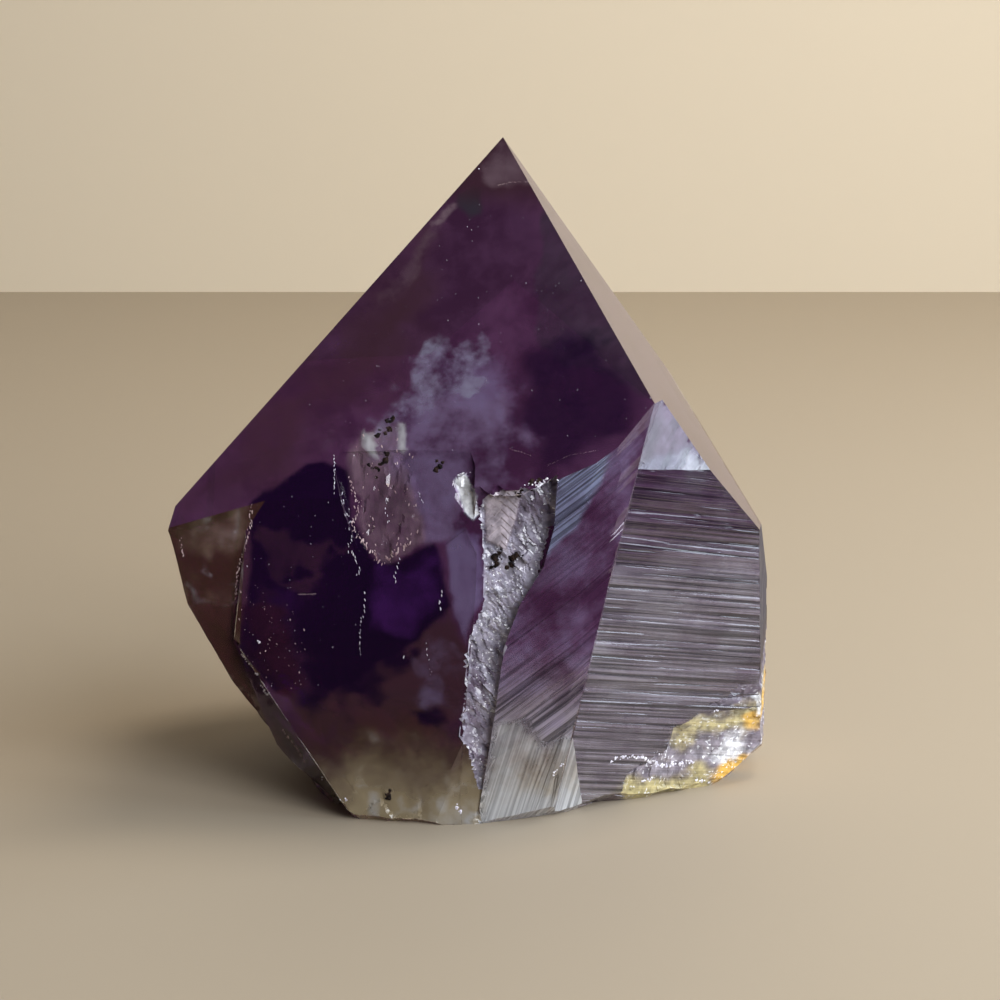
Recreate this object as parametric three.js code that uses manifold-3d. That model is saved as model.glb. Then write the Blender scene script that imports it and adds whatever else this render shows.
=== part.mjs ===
// A semi-polished amethyst point, in millimetres, +Z up, resting on its flat cut base at z = 0.
//
// The stone is one natural piece: a main crystal, a second crystal grown against its right flank and a
// broken shoulder on its left. All of them end upwards in one set of ground and polished faces that meet
// in a point. Below those faces the stone keeps its natural and broken surfaces.
//
// Azimuth is measured from the front (-Y) towards the right (+X), so 0 faces the front, 90 the right and
// 180 the back. Tilt is how far a face looks up from the horizontal; a negative tilt is an undercut face.

import * as THREE from 'three';
import { ConvexGeometry } from 'three/addons/geometries/ConvexGeometry.js';
import { mergeVertices } from 'three/addons/utils/BufferGeometryUtils.js';
import Module from 'manifold-3d';

// ---------- driving sizes ----------

const APEX = [4.0, 2.0, 78.5];

// The polished point. All but one of its faces pass through the apex.
const POLISHED_FACES = [
  { azimuth: -12, tilt: 36, through: APEX },
  { azimuth: 83.6, tilt: 35.1, through: APEX },
  { azimuth: 100, tilt: 27, through: [27.4, 0.7, 45.1] },
  { azimuth: 124, tilt: 31.5, through: APEX },
  { azimuth: -158, tilt: 37.5, through: APEX },
  { azimuth: -100, tilt: 39.4, through: APEX },
];

// Small steep bevel that closes the polished front at the far left corner.
const LEFT_BEVEL = { azimuth: -93, tilt: 14, through: [-34.9, -22.1, 34.9] };

// The main crystal, below the polish.
const MAIN_FACES = [
  { azimuth: -8.9, tilt: 0, through: [1.9, -25.9, 40.4] },
  { azimuth: 6, tilt: -4, through: [10.0, -26.6, 41.8] },
  { azimuth: 20, tilt: -5, through: [16.4, -25.6, 44.9] },
  { azimuth: 37, tilt: -5, through: [21.4, -22.8, 50.1] },
  { azimuth: 78, tilt: -12.7, through: [21.4, -22.8, 50.1] },
  { azimuth: 148, tilt: 0, through: [10, 25.4, 20] },
  { azimuth: -152, tilt: -2, through: [-12, 27, 20] },
  { azimuth: -95, tilt: 0, through: [-31, 5, 20] },
  { azimuth: -80, tilt: 7, through: [-25.5, -21.6, 38.4] },
  { azimuth: -80, tilt: -32, through: [-27.7, -21.3, 21.6] },
];

// The second crystal, set back a little behind the blade-like edge of the main one.
const SIDE_FACES = [
  { azimuth: 31, tilt: -7, through: [19.0, -23.0, 42.3] },
  { azimuth: 35.5, tilt: 27, through: [19.0, -23.0, 42.3] },
  { azimuth: 82, tilt: 1.2, through: [34.8, -13, 25] },
  { azimuth: 148, tilt: 0, through: [10, 26.4, 20] },
  { azimuth: -152, tilt: 0, through: [-2, 31, 20] },
  { azimuth: -90, tilt: 11.5, through: [20.2, -22.8, 50.1] },
];

// The broken shoulder on the left flank.
const SHOULDER_FACES = [
  { azimuth: 2, tilt: -7, through: [-30, -21.9, 36.5] },
  { azimuth: -88, tilt: -11.7, through: [-34.9, -22.1, 34.9] },
  { azimuth: -86, tilt: -27, through: [-33.0, -20.7, 25.7] },
  { azimuth: -150, tilt: -6, through: [-27, 17, 20] },
  { azimuth: 175, tilt: 0, through: [-20, 22, 20] },
  { azimuth: 90, tilt: 0, through: [-8, 0, 20] },
];

// Rough broken ground round the base: each face is cut with small lumps and chips.
const BROKEN_FACES = [
  { azimuth: -84, tilt: -32, through: [-25.4, -18.8, 11.0] },
  { azimuth: -64, tilt: -46, through: [-19.6, -17.8, 3.0] },
  { azimuth: -18, tilt: -62, through: [-10, -24.6, 0.3] },
  { azimuth: 28, tilt: -54, through: [11.5, -23.9, 2.4] },
  { azimuth: 62, tilt: -40, through: [37.2, -6, 4.2] },
  { azimuth: 105, tilt: -38, through: [37, 4, 5.0] },
  { azimuth: 150, tilt: -50, through: [14, 24, 3.0] },
  { azimuth: -160, tilt: -52, through: [-12, 24, 3.5] },
  { azimuth: -120, tilt: -40, through: [-25, 14, 8.0] },
];
const BROKEN_CENTRE = [0, 0, 30];
const BROKEN_COLUMNS = 96;
const BROKEN_ROWS = 44;
const LUMP_SIZE = 5.5;
const LUMP_DEPTH = 1.15;

// Ledges across the wide face of the second crystal, falling a little to the right.
const SIDE_LEDGES = { slope: -11, wide: 62, tall: 66, columns: 6, rows: 44, depth: 0.42, seed: 11 };

// Ledges on the blade-like edge, rising to the right.
const BLADE_LEDGES = { slope: 36, wide: 74, tall: 74, columns: 4, rows: 40, depth: 0.34, seed: 29 };

// Ledges on the two natural faces at the back.
const BACK_LEDGES = [
  { slope: 3, wide: 60, tall: 60, columns: 5, rows: 30, depth: 0.4, seed: 53 },
  { slope: -2, wide: 60, tall: 60, columns: 5, rows: 26, depth: 0.35, seed: 71 },
];

// The crushed strip where the front corner broke, as x and z seen from the front.
const CRUSHED_OUTLINE = [
  [0.6, 41.4], [2.9, 39.7], [6.3, 39.9], [8.2, 41.0], [10.2, 42.4], [9.8, 36.0], [8.6, 31.5],
  [5.9, 27.0], [4.1, 22.0], [3.2, 15.0], [2.3, 9.0], [1.3, 3.0], [0.8, -1.0], [-0.8, -1.0],
  [-1.0, 4.0], [-0.4, 12.0], [-0.1, 17.0], [0.5, 23.0], [0.9, 29.0], [1.0, 33.0], [-0.6, 36.5],
];
const CRUSHED_PLANE = { azimuth: 4, tilt: -1, through: [4.5, -25.2, 30] };
const CRUSHED_DEPTH = 1.0;

// The shallow rough dip between the polished front and the natural face below it.
const DIP_OUTLINE = [
  [-15.8, 42.8], [-12.5, 45.5], [-9.0, 48.2], [-4.6, 47.6], [-0.8, 46.9], [0.8, 43.0],
  [0.6, 36.5], [-4.5, 32.6], [-9.6, 30.2], [-12.3, 31.8], [-14.2, 37.0],
];
const DIP_PLANE = { azimuth: -11, tilt: 17, through: [-7.5, -22.4, 40.5] };
const DIP_DEPTH = 0.35;

// Chips along the edge where the crushed strip meets the polish: centre and radius.
const EDGE_CHIPS = [
  [[8.4, -27.0, 41.3], 1.0],
  [[6.2, -26.8, 40.7], 0.8],
  [[3.4, -26.4, 40.4], 1.1],
  [[-31.5, -22.4, 36.6], 0.7],
  [[22.0, -22.6, 49.6], 0.5],
  [[35.2, -12.0, 33.2], 0.8],
  [[34.6, -13.4, 18.0], 1.0],
  [[-27.6, -21.3, 21.0], 0.9],
  [[-25.1, -21.7, 17.2], 0.8],
  [[-21.4, -22.3, 11.2], 0.9],
];

const STONE_COLOUR = 0x5b4372;
const FAR = 200;

// ---------- numbers that repeat ----------

const radians = (degrees) => (degrees * Math.PI) / 180;

// The same fraction between 0 and 1 for the same three whole numbers.
function fractionAt(i, j, k) {
  const mixed = Math.sin(i * 127.1 + j * 311.7 + k * 74.7) * 43758.5453;
  return mixed - Math.floor(mixed);
}

// Smooth value between 0 and 1 that varies over about one unit of x, y and z.
function smoothNoise(x, y, z) {
  const corner = [Math.floor(x), Math.floor(y), Math.floor(z)];
  const ease = [x, y, z].map((value, axis) => {
    const part = value - corner[axis];
    return part * part * (3 - 2 * part);
  });
  let sum = 0;
  for (let step = 0; step < 8; step += 1) {
    const offset = [step & 1, (step >> 1) & 1, (step >> 2) & 1];
    const weight = offset.reduce((w, on, axis) => w * (on ? ease[axis] : 1 - ease[axis]), 1);
    sum += weight * fractionAt(corner[0] + offset[0], corner[1] + offset[1], corner[2] + offset[2]);
  }
  return sum;
}

// ---------- faces and solids ----------

// A face as its outward direction and its distance from the origin.
function planeOf({ azimuth, tilt, through }) {
  const level = Math.cos(radians(tilt));
  const normal = new THREE.Vector3(
    Math.sin(radians(azimuth)) * level,
    -Math.cos(radians(azimuth)) * level,
    Math.sin(radians(tilt)),
  );
  return { normal, distance: normal.dot(new THREE.Vector3(...through)) };
}

// The point where three faces meet, or null when they share a direction.
function meetingPoint(a, b, c) {
  const across = new THREE.Vector3().crossVectors(b.normal, c.normal);
  const spread = a.normal.dot(across);
  if (Math.abs(spread) < 1e-7) return null;
  const point = across.multiplyScalar(a.distance);
  point.addScaledVector(new THREE.Vector3().crossVectors(c.normal, a.normal), b.distance);
  point.addScaledVector(new THREE.Vector3().crossVectors(a.normal, b.normal), c.distance);
  return point.divideScalar(spread);
}

// Six distant faces that close any crystal whose own faces leave it open.
function farBox() {
  const sides = [[1, 0, 0], [-1, 0, 0], [0, 1, 0], [0, -1, 0], [0, 0, 1]];
  const planes = sides.map((side) => ({ normal: new THREE.Vector3(...side), distance: FAR }));
  planes.push({ normal: new THREE.Vector3(0, 0, -1), distance: 0 });
  return planes;
}

// The flat-faced block that lies behind every one of the faces.
function blockBehind(faces) {
  const planes = [...faces.map(planeOf), ...farBox()];
  const corners = [];
  for (let i = 0; i < planes.length; i += 1) {
    for (let j = i + 1; j < planes.length; j += 1) {
      for (let k = j + 1; k < planes.length; k += 1) {
        const point = meetingPoint(planes[i], planes[j], planes[k]);
        if (point && planes.every((p) => p.normal.dot(point) <= p.distance + 1e-5)) corners.push(point);
      }
    }
  }
  return new ConvexGeometry(corners);
}

const wasm = await Module();
wasm.setup();

// A closed geometry as a solid that can be joined and cut.
function toSolid(geometry) {
  const bare = geometry.clone();
  bare.deleteAttribute('normal');
  bare.deleteAttribute('uv');
  const merged = mergeVertices(bare, 1e-4);
  return new wasm.Manifold(new wasm.Mesh({
    numProp: 3,
    vertProperties: new Float32Array(merged.attributes.position.array),
    triVerts: new Uint32Array(merged.index.array),
  }));
}

// A solid back as a flat-shaded geometry.
function toGeometry(solid) {
  const mesh = solid.getMesh();
  const geometry = new THREE.BufferGeometry();
  geometry.setAttribute('position', new THREE.BufferAttribute(new Float32Array(mesh.vertProperties), 3));
  geometry.setIndex(new THREE.BufferAttribute(new Uint32Array(mesh.triVerts), 1));
  const flat = geometry.toNonIndexed();
  flat.computeVertexNormals();
  return flat;
}

// Where one line of a relief grid runs. The outermost lines lie far out, so the grid never ends early.
function stretched(line, lines, span) {
  if (line === 0) return -FAR;
  if (line === lines) return FAR;
  return ((line - 1) / (lines - 2) - 0.5) * span;
}

// The volume behind a face whose surface has relief. reliefAt gives the depth, in mm, at two
// distances along the face: along its level or sloped grain, and across the grain.
function reliefBlock(face, { slope = 0, wide, tall, columns, rows }, reliefAt) {
  const { normal } = planeOf(face);
  const level = new THREE.Vector3(-normal.y, normal.x, 0).normalize();
  const along = level.clone().applyAxisAngle(normal, radians(slope));
  const across = new THREE.Vector3().crossVectors(normal, along);
  const middle = new THREE.Vector3(...face.through);
  const points = [];
  for (const sunk of [0, 1]) {
    for (let row = 0; row <= rows; row += 1) {
      for (let column = 0; column <= columns; column += 1) {
        const u = stretched(column, columns, wide);
        const v = stretched(row, rows, tall);
        const depth = sunk ? FAR / 2 : reliefAt(u, v, column, row);
        const point = middle.clone().addScaledVector(along, u).addScaledVector(across, v);
        points.push(point.addScaledVector(normal, -depth));
      }
    }
  }
  return gridBlock(points, columns, rows);
}

// A closed block between two grids of points that are given one after the other.
function gridBlock(points, columns, rows) {
  const wide = columns + 1;
  const layer = wide * (rows + 1);
  const index = [];
  const quad = (a, b, c, d) => index.push(a, b, c, a, c, d);
  for (let row = 0; row < rows; row += 1) {
    for (let column = 0; column < columns; column += 1) {
      const a = row * wide + column;
      quad(a, a + 1, a + 1 + wide, a + wide);
      quad(a + layer, a + wide + layer, a + 1 + wide + layer, a + 1 + layer);
    }
  }
  for (let column = 0; column < columns; column += 1) {
    const top = rows * wide + column;
    quad(column + 1, column, column + layer, column + 1 + layer);
    quad(top, top + 1, top + 1 + layer, top + layer);
  }
  for (let row = 0; row < rows; row += 1) {
    const left = row * wide;
    const right = left + columns;
    quad(left, left + wide, left + wide + layer, left + layer);
    quad(right + wide, right, right + layer, right + wide + layer);
  }
  const geometry = new THREE.BufferGeometry();
  const flat = points.flatMap((p) => [p.x, p.y, p.z]);
  geometry.setAttribute('position', new THREE.BufferAttribute(new Float32Array(flat), 3));
  geometry.setIndex(index);
  return toSolid(geometry);
}

// A prism whose outline is given as x and z seen from the front, running front to back.
function frontPrism(outline, from, to) {
  const shape = new THREE.Shape(outline.map(([x, z]) => new THREE.Vector2(x, z)));
  const geometry = new THREE.ExtrudeGeometry(shape, { depth: to - from, bevelEnabled: false });
  geometry.rotateX(Math.PI / 2);
  geometry.translate(0, to, 0);
  return toSolid(geometry);
}

// ---------- the stone ----------

// How deep a ledged face is cut at each row: a saw-tooth of uneven steps that fade along the face.
function ledgeDepth({ columns, depth, seed }, column, row) {
  const tread = fractionAt(row, seed, 1);
  const rise = row % 2 ? 0.15 + 0.85 * tread : 0.25 * tread;
  const fade = 0.55 + 0.45 * fractionAt(row, seed, 2 + column);
  return depth * rise * (column === 0 || column === columns ? 1 : fade);
}

// The volume behind a face that is cut with ledges.
function ledgedBlock(face, ledges) {
  return reliefBlock(face, ledges, (u, v, column, row) => ledgeDepth(ledges, column, row));
}

// The main crystal: ledges on its blade-like right edge and on one face at the back.
function makeMainCrystal() {
  let crystal = toSolid(blockBehind(MAIN_FACES));
  for (const blade of MAIN_FACES.slice(1, 4)) {
    crystal = crystal.intersect(ledgedBlock(blade, BLADE_LEDGES));
  }
  return crystal.intersect(ledgedBlock(MAIN_FACES[6], BACK_LEDGES[1]));
}

// The second crystal: ledges across its wide front face and on its face at the back.
function makeSideCrystal() {
  const block = toSolid(blockBehind(SIDE_FACES));
  return block.intersect(ledgedBlock(SIDE_FACES[0], SIDE_LEDGES)).intersect(
    ledgedBlock(SIDE_FACES[3], BACK_LEDGES[0]),
  );
}

// The stone as far as the broken ground reaches: a star-shaped lump about its centre, whose surface
// lies on the broken faces and is pitted by the noise.
function makeBrokenGround() {
  const planes = BROKEN_FACES.map(planeOf);
  const centre = new THREE.Vector3(...BROKEN_CENTRE);
  const reach = (direction) => {
    let nearest = FAR / 2;
    for (const plane of planes) {
      const facing = plane.normal.dot(direction);
      if (facing > 1e-6) nearest = Math.min(nearest, (plane.distance - plane.normal.dot(centre)) / facing);
    }
    const at = centre.clone().addScaledVector(direction, nearest);
    const lump = smoothNoise(at.x / LUMP_SIZE + 40, at.y / LUMP_SIZE + 40, at.z / LUMP_SIZE + 40);
    const chip = smoothNoise(at.x / 1.9 + 80, at.y / 1.9 + 80, at.z / 1.9 + 80);
    return nearest - LUMP_DEPTH * (lump - 0.25) - 0.45 * LUMP_DEPTH * chip;
  };
  const points = [];
  const index = [];
  const bottom = new THREE.Vector3(0, 0, -1);
  const top = new THREE.Vector3(0, 0, 1);
  points.push(centre.clone().addScaledVector(bottom, reach(bottom)));
  for (let row = 1; row < BROKEN_ROWS; row += 1) {
    const polar = Math.PI * (row / BROKEN_ROWS) ** 1.15;
    for (let column = 0; column < BROKEN_COLUMNS; column += 1) {
      const turn = (2 * Math.PI * column) / BROKEN_COLUMNS;
      const direction = new THREE.Vector3(
        Math.sin(polar) * Math.cos(turn), Math.sin(polar) * Math.sin(turn), -Math.cos(polar),
      );
      points.push(centre.clone().addScaledVector(direction, reach(direction)));
    }
  }
  points.push(centre.clone().addScaledVector(top, reach(top)));
  const last = points.length - 1;
  const at = (row, column) => 1 + (row - 1) * BROKEN_COLUMNS + (column % BROKEN_COLUMNS);
  for (let column = 0; column < BROKEN_COLUMNS; column += 1) {
    index.push(0, at(1, column + 1), at(1, column));
    for (let row = 1; row < BROKEN_ROWS - 1; row += 1) {
      index.push(at(row, column), at(row, column + 1), at(row + 1, column + 1));
      index.push(at(row, column), at(row + 1, column + 1), at(row + 1, column));
    }
    index.push(at(BROKEN_ROWS - 1, column), at(BROKEN_ROWS - 1, column + 1), last);
  }
  const geometry = new THREE.BufferGeometry();
  const flat = points.flatMap((p) => [p.x, p.y, p.z]);
  geometry.setAttribute('position', new THREE.BufferAttribute(new Float32Array(flat), 3));
  geometry.setIndex(index);
  return toSolid(geometry);
}

// What is taken away along the crushed strip: everything in front of a crumpled surface.
function makeCrushedStripCut() {
  const grid = { wide: 34, tall: 92, columns: 20, rows: 52 };
  const kept = reliefBlock(CRUSHED_PLANE, grid, (u, v, column, row) => {
    const coarse = smoothNoise(u / 2.6 + 9, v / 3.4 + 9, 3);
    return CRUSHED_DEPTH * (0.75 * coarse + 0.5 * fractionAt(column, row, 5));
  });
  return frontPrism(CRUSHED_OUTLINE, -40, -20).subtract(kept);
}

// What is taken away above the natural front face, leaving a shallow rough dip.
function makeDipCut() {
  const grid = { wide: 46, tall: 60, columns: 18, rows: 20 };
  const kept = reliefBlock(DIP_PLANE, grid, (u, v) => (
    DIP_DEPTH * smoothNoise(u / 2.2 + 5, v / 6 + 5, 8)
  ));
  return frontPrism(DIP_OUTLINE, -40, -14).subtract(kept);
}

// One small chip, flat-sided, to be taken out of an edge.
function makeChip([centre, radius]) {
  const chip = new THREE.OctahedronGeometry(radius, 0);
  chip.rotateX(0.7 + centre[0]);
  chip.rotateZ(0.4 + centre[2]);
  chip.translate(...centre);
  return toSolid(chip);
}

// The whole stone, still in the frame of the sizes above.
function makeStone() {
  const shoulder = toSolid(blockBehind([...SHOULDER_FACES, LEFT_BEVEL]));
  const polish = toSolid(blockBehind(POLISHED_FACES));
  let stone = makeMainCrystal().add(makeSideCrystal()).add(shoulder);
  stone = stone.intersect(polish).intersect(makeBrokenGround());
  stone = stone.subtract(makeCrushedStripCut()).subtract(makeDipCut());
  for (const chip of EDGE_CHIPS) stone = stone.subtract(makeChip(chip));
  return stone;
}

// Moves a geometry so that the middle of its footprint is the origin and it rests at z = 0.
function standOnOrigin(geometry) {
  geometry.computeBoundingBox();
  const { min, max } = geometry.boundingBox;
  geometry.translate(-(min.x + max.x) / 2, -(min.y + max.y) / 2, -min.z);
  return geometry;
}

function makeAmethyst() {
  const material = new THREE.MeshStandardMaterial({ color: STONE_COLOUR, roughness: 0.12, metalness: 0 });
  const mesh = new THREE.Mesh(standOnOrigin(toGeometry(makeStone())), material);
  mesh.name = 'amethyst_point';
  return mesh;
}

const part = new THREE.Group();
part.name = 'amethyst';
part.add(makeAmethyst());

export default part;
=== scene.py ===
"""A semi-polished amethyst point: one clear violet stone with its natural skin, clouds, rust and flecks.

Lengths are in millimetres in the class fields and in metres in every mesh. X runs to the right, Y away
from the front and Z up, with the origin in the middle of the footprint, on the plane the stone rests on.
"""

import logging
import math
from collections.abc import Callable
from dataclasses import dataclass, field
from enum import Enum, IntEnum

import bmesh
import bpy
import numpy as np
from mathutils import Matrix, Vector
from mathutils.bvhtree import BVHTree


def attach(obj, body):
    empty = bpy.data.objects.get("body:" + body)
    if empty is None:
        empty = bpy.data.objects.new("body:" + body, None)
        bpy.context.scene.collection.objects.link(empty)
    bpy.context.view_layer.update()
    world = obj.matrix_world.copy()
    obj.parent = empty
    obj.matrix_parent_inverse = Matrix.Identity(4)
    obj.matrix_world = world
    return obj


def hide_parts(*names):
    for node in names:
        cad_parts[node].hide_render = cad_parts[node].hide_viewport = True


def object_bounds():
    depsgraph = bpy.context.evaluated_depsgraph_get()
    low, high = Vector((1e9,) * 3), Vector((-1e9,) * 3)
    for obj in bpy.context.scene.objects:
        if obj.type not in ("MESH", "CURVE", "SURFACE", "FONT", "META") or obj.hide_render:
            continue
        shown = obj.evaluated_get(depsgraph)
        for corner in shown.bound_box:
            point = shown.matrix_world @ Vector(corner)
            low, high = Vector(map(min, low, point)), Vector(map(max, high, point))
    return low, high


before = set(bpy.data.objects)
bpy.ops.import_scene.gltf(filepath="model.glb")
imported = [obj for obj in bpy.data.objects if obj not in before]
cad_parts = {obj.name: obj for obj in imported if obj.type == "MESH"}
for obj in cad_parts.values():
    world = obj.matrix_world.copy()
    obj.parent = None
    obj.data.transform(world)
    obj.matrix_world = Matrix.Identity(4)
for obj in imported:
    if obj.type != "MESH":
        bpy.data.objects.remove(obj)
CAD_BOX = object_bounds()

log = logging.getLogger("amethyst")

MM = 0.001
FAR = 1e9
TINY = 1e-12
SHARP_ANGLE = math.radians(18)
LEVEL_ANGLE = math.radians(0.1)
WELD = 1e-6
BODY = "root"
NODE = "amethyst_point"

Point2 = tuple[float, float]
Point3 = tuple[float, float, float]
Colour = tuple[float, float, float]


# ---------------------------------------------------------------------------------------------
# Faces and outlines of the stone
# ---------------------------------------------------------------------------------------------


@dataclass(frozen=True)
class StoneFace:
    """One flat face of the stone.

    Azimuth is measured from the front towards the right, and tilt is how far the face looks up.
    """

    azimuth: float
    tilt: float
    through: Point3

    @property
    def normal(self) -> np.ndarray:
        """Outward direction of the face."""
        turn, lean = math.radians(self.azimuth), math.radians(self.tilt)
        return np.array(
            [math.sin(turn) * math.cos(lean), -math.cos(turn) * math.cos(lean), math.sin(lean)]
        )

    def holds(self, centres: np.ndarray, normals: np.ndarray, slack: float = 0.03) -> np.ndarray:
        """Tells which small faces lie in this flat face.

        Args:
            centres: Face centres in millimetres, one per row.
            normals: Their outward directions.
            slack: How far off the plane a centre may be, in millimetres.

        Returns:
            A boolean for each row.
        """
        gap = (centres - np.array(self.through)) @ self.normal
        return (np.abs(gap) < slack) & (normals @ self.normal > 0.9995)


@dataclass(frozen=True)
class Outline:
    """A patch on the stone as x and z corners seen from the front, in millimetres.

    The wander is how far the edge of its colour strays from the corners' straight lines.
    """

    corners: tuple[Point2, ...]
    soft: float = 1.0
    weight: float = 1.0
    wander: float = 1.5

    def cover(self, x: np.ndarray, z: np.ndarray) -> np.ndarray:
        """Measures how far each point is inside the patch.

        Args:
            x: Distances to the right.
            z: Heights.

        Returns:
            0 outside, rising over the soft width to the patch's weight inside.
        """
        ring = np.array(self.corners)
        inside = np.zeros(len(x), bool)
        nearest = np.full(len(x), FAR)
        for (x0, z0), (x1, z1) in zip(ring, np.roll(ring, -1, axis=0)):
            crosses = (z0 > z) != (z1 > z)
            with np.errstate(divide="ignore", invalid="ignore"):
                at = (x1 - x0) * (z - z0) / (z1 - z0) + x0
            inside ^= crosses & (x < at)
            length = max((x1 - x0) ** 2 + (z1 - z0) ** 2, 1e-9)
            along = np.clip(((x - x0) * (x1 - x0) + (z - z0) * (z1 - z0)) / length, 0, 1)
            gap = np.hypot(x - x0 - along * (x1 - x0), z - z0 - along * (z1 - z0))
            nearest = np.minimum(nearest, gap)
        signed = np.where(inside, nearest, -nearest)
        step = np.clip(0.5 + signed / max(self.soft, 1e-3), 0, 1)
        return self.weight * step * step * (3 - 2 * step)


APEX: Point3 = (2.358, -1.118, 78.5)

POLISHED_FRONT = StoneFace(-12, 36, APEX)
POLISHED_RIGHT = StoneFace(83.6, 35.1, APEX)
POLISHED_REST = (
    StoneFace(100, 27, (25.758, -2.418, 45.1)),
    StoneFace(124, 31.5, APEX),
    StoneFace(-158, 37.5, APEX),
    StoneFace(-100, 39.4, APEX),
    StoneFace(-93, 14, (-36.542, -25.218, 34.9)),
)

SMALL_FACE = StoneFace(35.5, 27, (17.358, -26.118, 42.3))

# Clear windows, clouds and painted glow of the front flank
DEEP_CORE = Outline(
    ((-27.1, 38.1), (-21.2, 41.6), (-17.6, 41.5), (-16.5, 39.2), (-15.1, 35.8), (-12.2, 31.7),
     (-10.8, 31.7), (-5.8, 34.3), (-3.5, 26.6), (-7.3, 22.4), (-14.1, 17.7), (-17.5, 15.3),
     (-20.3, 16.6), (-25.0, 15.7), (-28.6, 20.8), (-28.3, 25.6), (-27.0, 30.8)),
    soft=1.2, wander=0.5,
)
MILKY_PATCH = Outline(
    ((-26.1, 35.6), (-22.3, 35.8), (-20.0, 33.9), (-15.9, 32.5), (-16.0, 31.5), (-19.1, 30.9),
     (-19.8, 29.2), (-19.4, 27.6), (-21.3, 27.2), (-22.8, 29.1), (-24.5, 31.4), (-25.9, 33.1)),
    soft=1.2, weight=0.7,
)
DEEP_LOW = Outline(
    ((-26.3, 26.5), (-25.9, 21.7), (-24.8, 16.9), (-22.4, 14.6), (-19.4, 13.3), (-16.2, 13.9), (-13.2, 16.2),
     (-9.6, 19.4), (-4.9, 23.8), (-9.6, 27.2), (-18.9, 26.8)),
    soft=3.5, weight=0.85, wander=2.5,
)
MILKY_HOLE = Outline(((-21.2, 32.5), (-20.4, 31.3), (-21.3, 29.7), (-22.3, 29.6), (-22.0, 31.5)), soft=0.8)
WINDOW = Outline(
    ((-15.4, 40.9), (-15.3, 39.4), (-14.4, 37.9), (-14.9, 36.0), (-14.2, 33.8), (-11.5, 31.2),
     (-8.1, 33.7), (-7.0, 34.2), (-7.4, 39.0), (-8.6, 44.0), (-9.2, 46.9), (-12.0, 46.8),
     (-14.1, 45.9), (-15.4, 43.5)),
    soft=1.4, wander=0.7,
)
WINDOW_SIDE = Outline(
    ((-8.6, 48.5), (-3.2, 50.1), (3.2, 49.8), (4.5, 45.7), (4.3, 41.7), (-0.3, 40.4), (-3.2, 41.7),
     (-3.0, 35.6), (-5.5, 34.4), (-8.1, 33.7), (-8.6, 40.0)),
    soft=2.0,
)
FLAKES = (
    Outline(
        ((-14.0, 46.1), (-13.1, 45.9), (-12.2, 43.4), (-13.2, 43.8), (-13.9, 44.5)), soft=0.7, wander=0.4
    ),
    Outline(
        ((-10.0, 46.7), (-9.2, 47.0), (-8.7, 45.7), (-9.2, 44.0), (-9.9, 44.8)), soft=0.7, wander=0.4
    ),
)
# A hazy panel, which also takes painted glow of light gathered inside the stone
PANEL = Outline(
    ((-4.2, 34.0), (-2.4, 35.9), (-0.3, 35.1), (0.0, 32.1), (0.1, 27.3), (-1.0, 25.2), (-1.9, 22.7),
     (-3.1, 26.0), (-3.8, 30.4)),
    soft=0.9, wander=0.5,
)
PANEL_STRIPE = Outline(
    ((-2.4, 35.9), (-0.4, 35.1), (-0.1, 32.1), (-0.5, 28.6), (-1.5, 29.9), (-2.3, 32.2)), soft=0.7, wander=0.5
)
LOWER_MAUVE = Outline(
    ((-24.0, 15.5), (-17.5, 15.3), (-14.1, 17.7), (-7.3, 22.4), (-3.5, 26.6), (-1.5, 21.5),
     (-2.0, 15.5), (-5.0, 9.9), (-12.1, 9.6), (-20.4, 10.4)),
    soft=3.0,
)
MAROON_EDGE = Outline(
    ((-28.9, 26.4), (-25.8, 28.4), (-23.1, 25.5), (-21.4, 21.9), (-20.3, 17.1), (-21.5, 14.6),
     (-25.0, 15.7), (-27.8, 20.4)),
    soft=3.0, weight=0.8,
)
# Painted glow: brighter violet where light gathers inside the stone
PAINTED_GLOW_LEFT = Outline(((-24.5, 28.0), (-21.5, 28.3), (-19.5, 26.0), (-21.0, 22.5), (-23.5, 25.0)), soft=2.5)
PAINTED_GLOW_RIGHT = Outline(((-12.0, 31.0), (-6.0, 33.5), (-4.2, 27.0), (-8.0, 23.0), (-13.0, 25.0)), soft=4.0)
LOWER_HAZE = Outline(
    ((-8.0, 20.5), (-4.5, 22.5), (-2.2, 20.0), (-2.3, 14.8), (-4.0, 13.4), (-6.5, 16.0)), soft=3.0, weight=0.5
)
DARK_SPOT = Outline(((-7.9, 14.6), (-5.0, 15.0), (-3.6, 13.0), (-4.8, 11.5), (-7.6, 12.6)), soft=1.6)

# The crushed strip and the chips round its top
CRUSHED_STRIP = Outline(
    ((0.0, 35.6), (0.1, 26.3), (-0.9, 24.2), (-1.7, 22.4), (-2.2, 19.7), (-1.9, 17.3), (-2.5, 13.2),
     (-2.2, 10.6), (-1.5, 8.4), (-0.5, 4.2), (-0.2, 3.0), (0.4, 6.8), (1.2, 11.5), (1.9, 14.4),
     (2.7, 18.3), (3.9, 22.1), (5.2, 24.7), (6.4, 30.7), (7.3, 34.1), (8.2, 37.4), (8.6, 42.2),
     (6.0, 41.0), (2.6, 40.6), (0.3, 39.6), (-0.4, 38.0)),
    soft=0.9,
)
BEIGE_FACET = Outline(((0.1, 40.4), (4.6, 40.8), (3.8, 36.7), (2.7, 33.3), (0.4, 34.2)), soft=0.5, wander=0.1)
CHIP = Outline(
    ((-3.3, 41.2), (-1.9, 41.8), (-0.9, 40.1), (-0.4, 37.4), (-1.2, 36.8), (-2.1, 37.6), (-2.9, 39.0)),
    soft=0.7, wander=0.3,
)
CHIP_CORE = Outline(
    ((-2.5, 40.6), (-1.7, 40.6), (-0.9, 38.5), (-0.9, 36.9), (-1.7, 37.7), (-2.4, 39.0)), soft=0.6, wander=0.3
)

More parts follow.
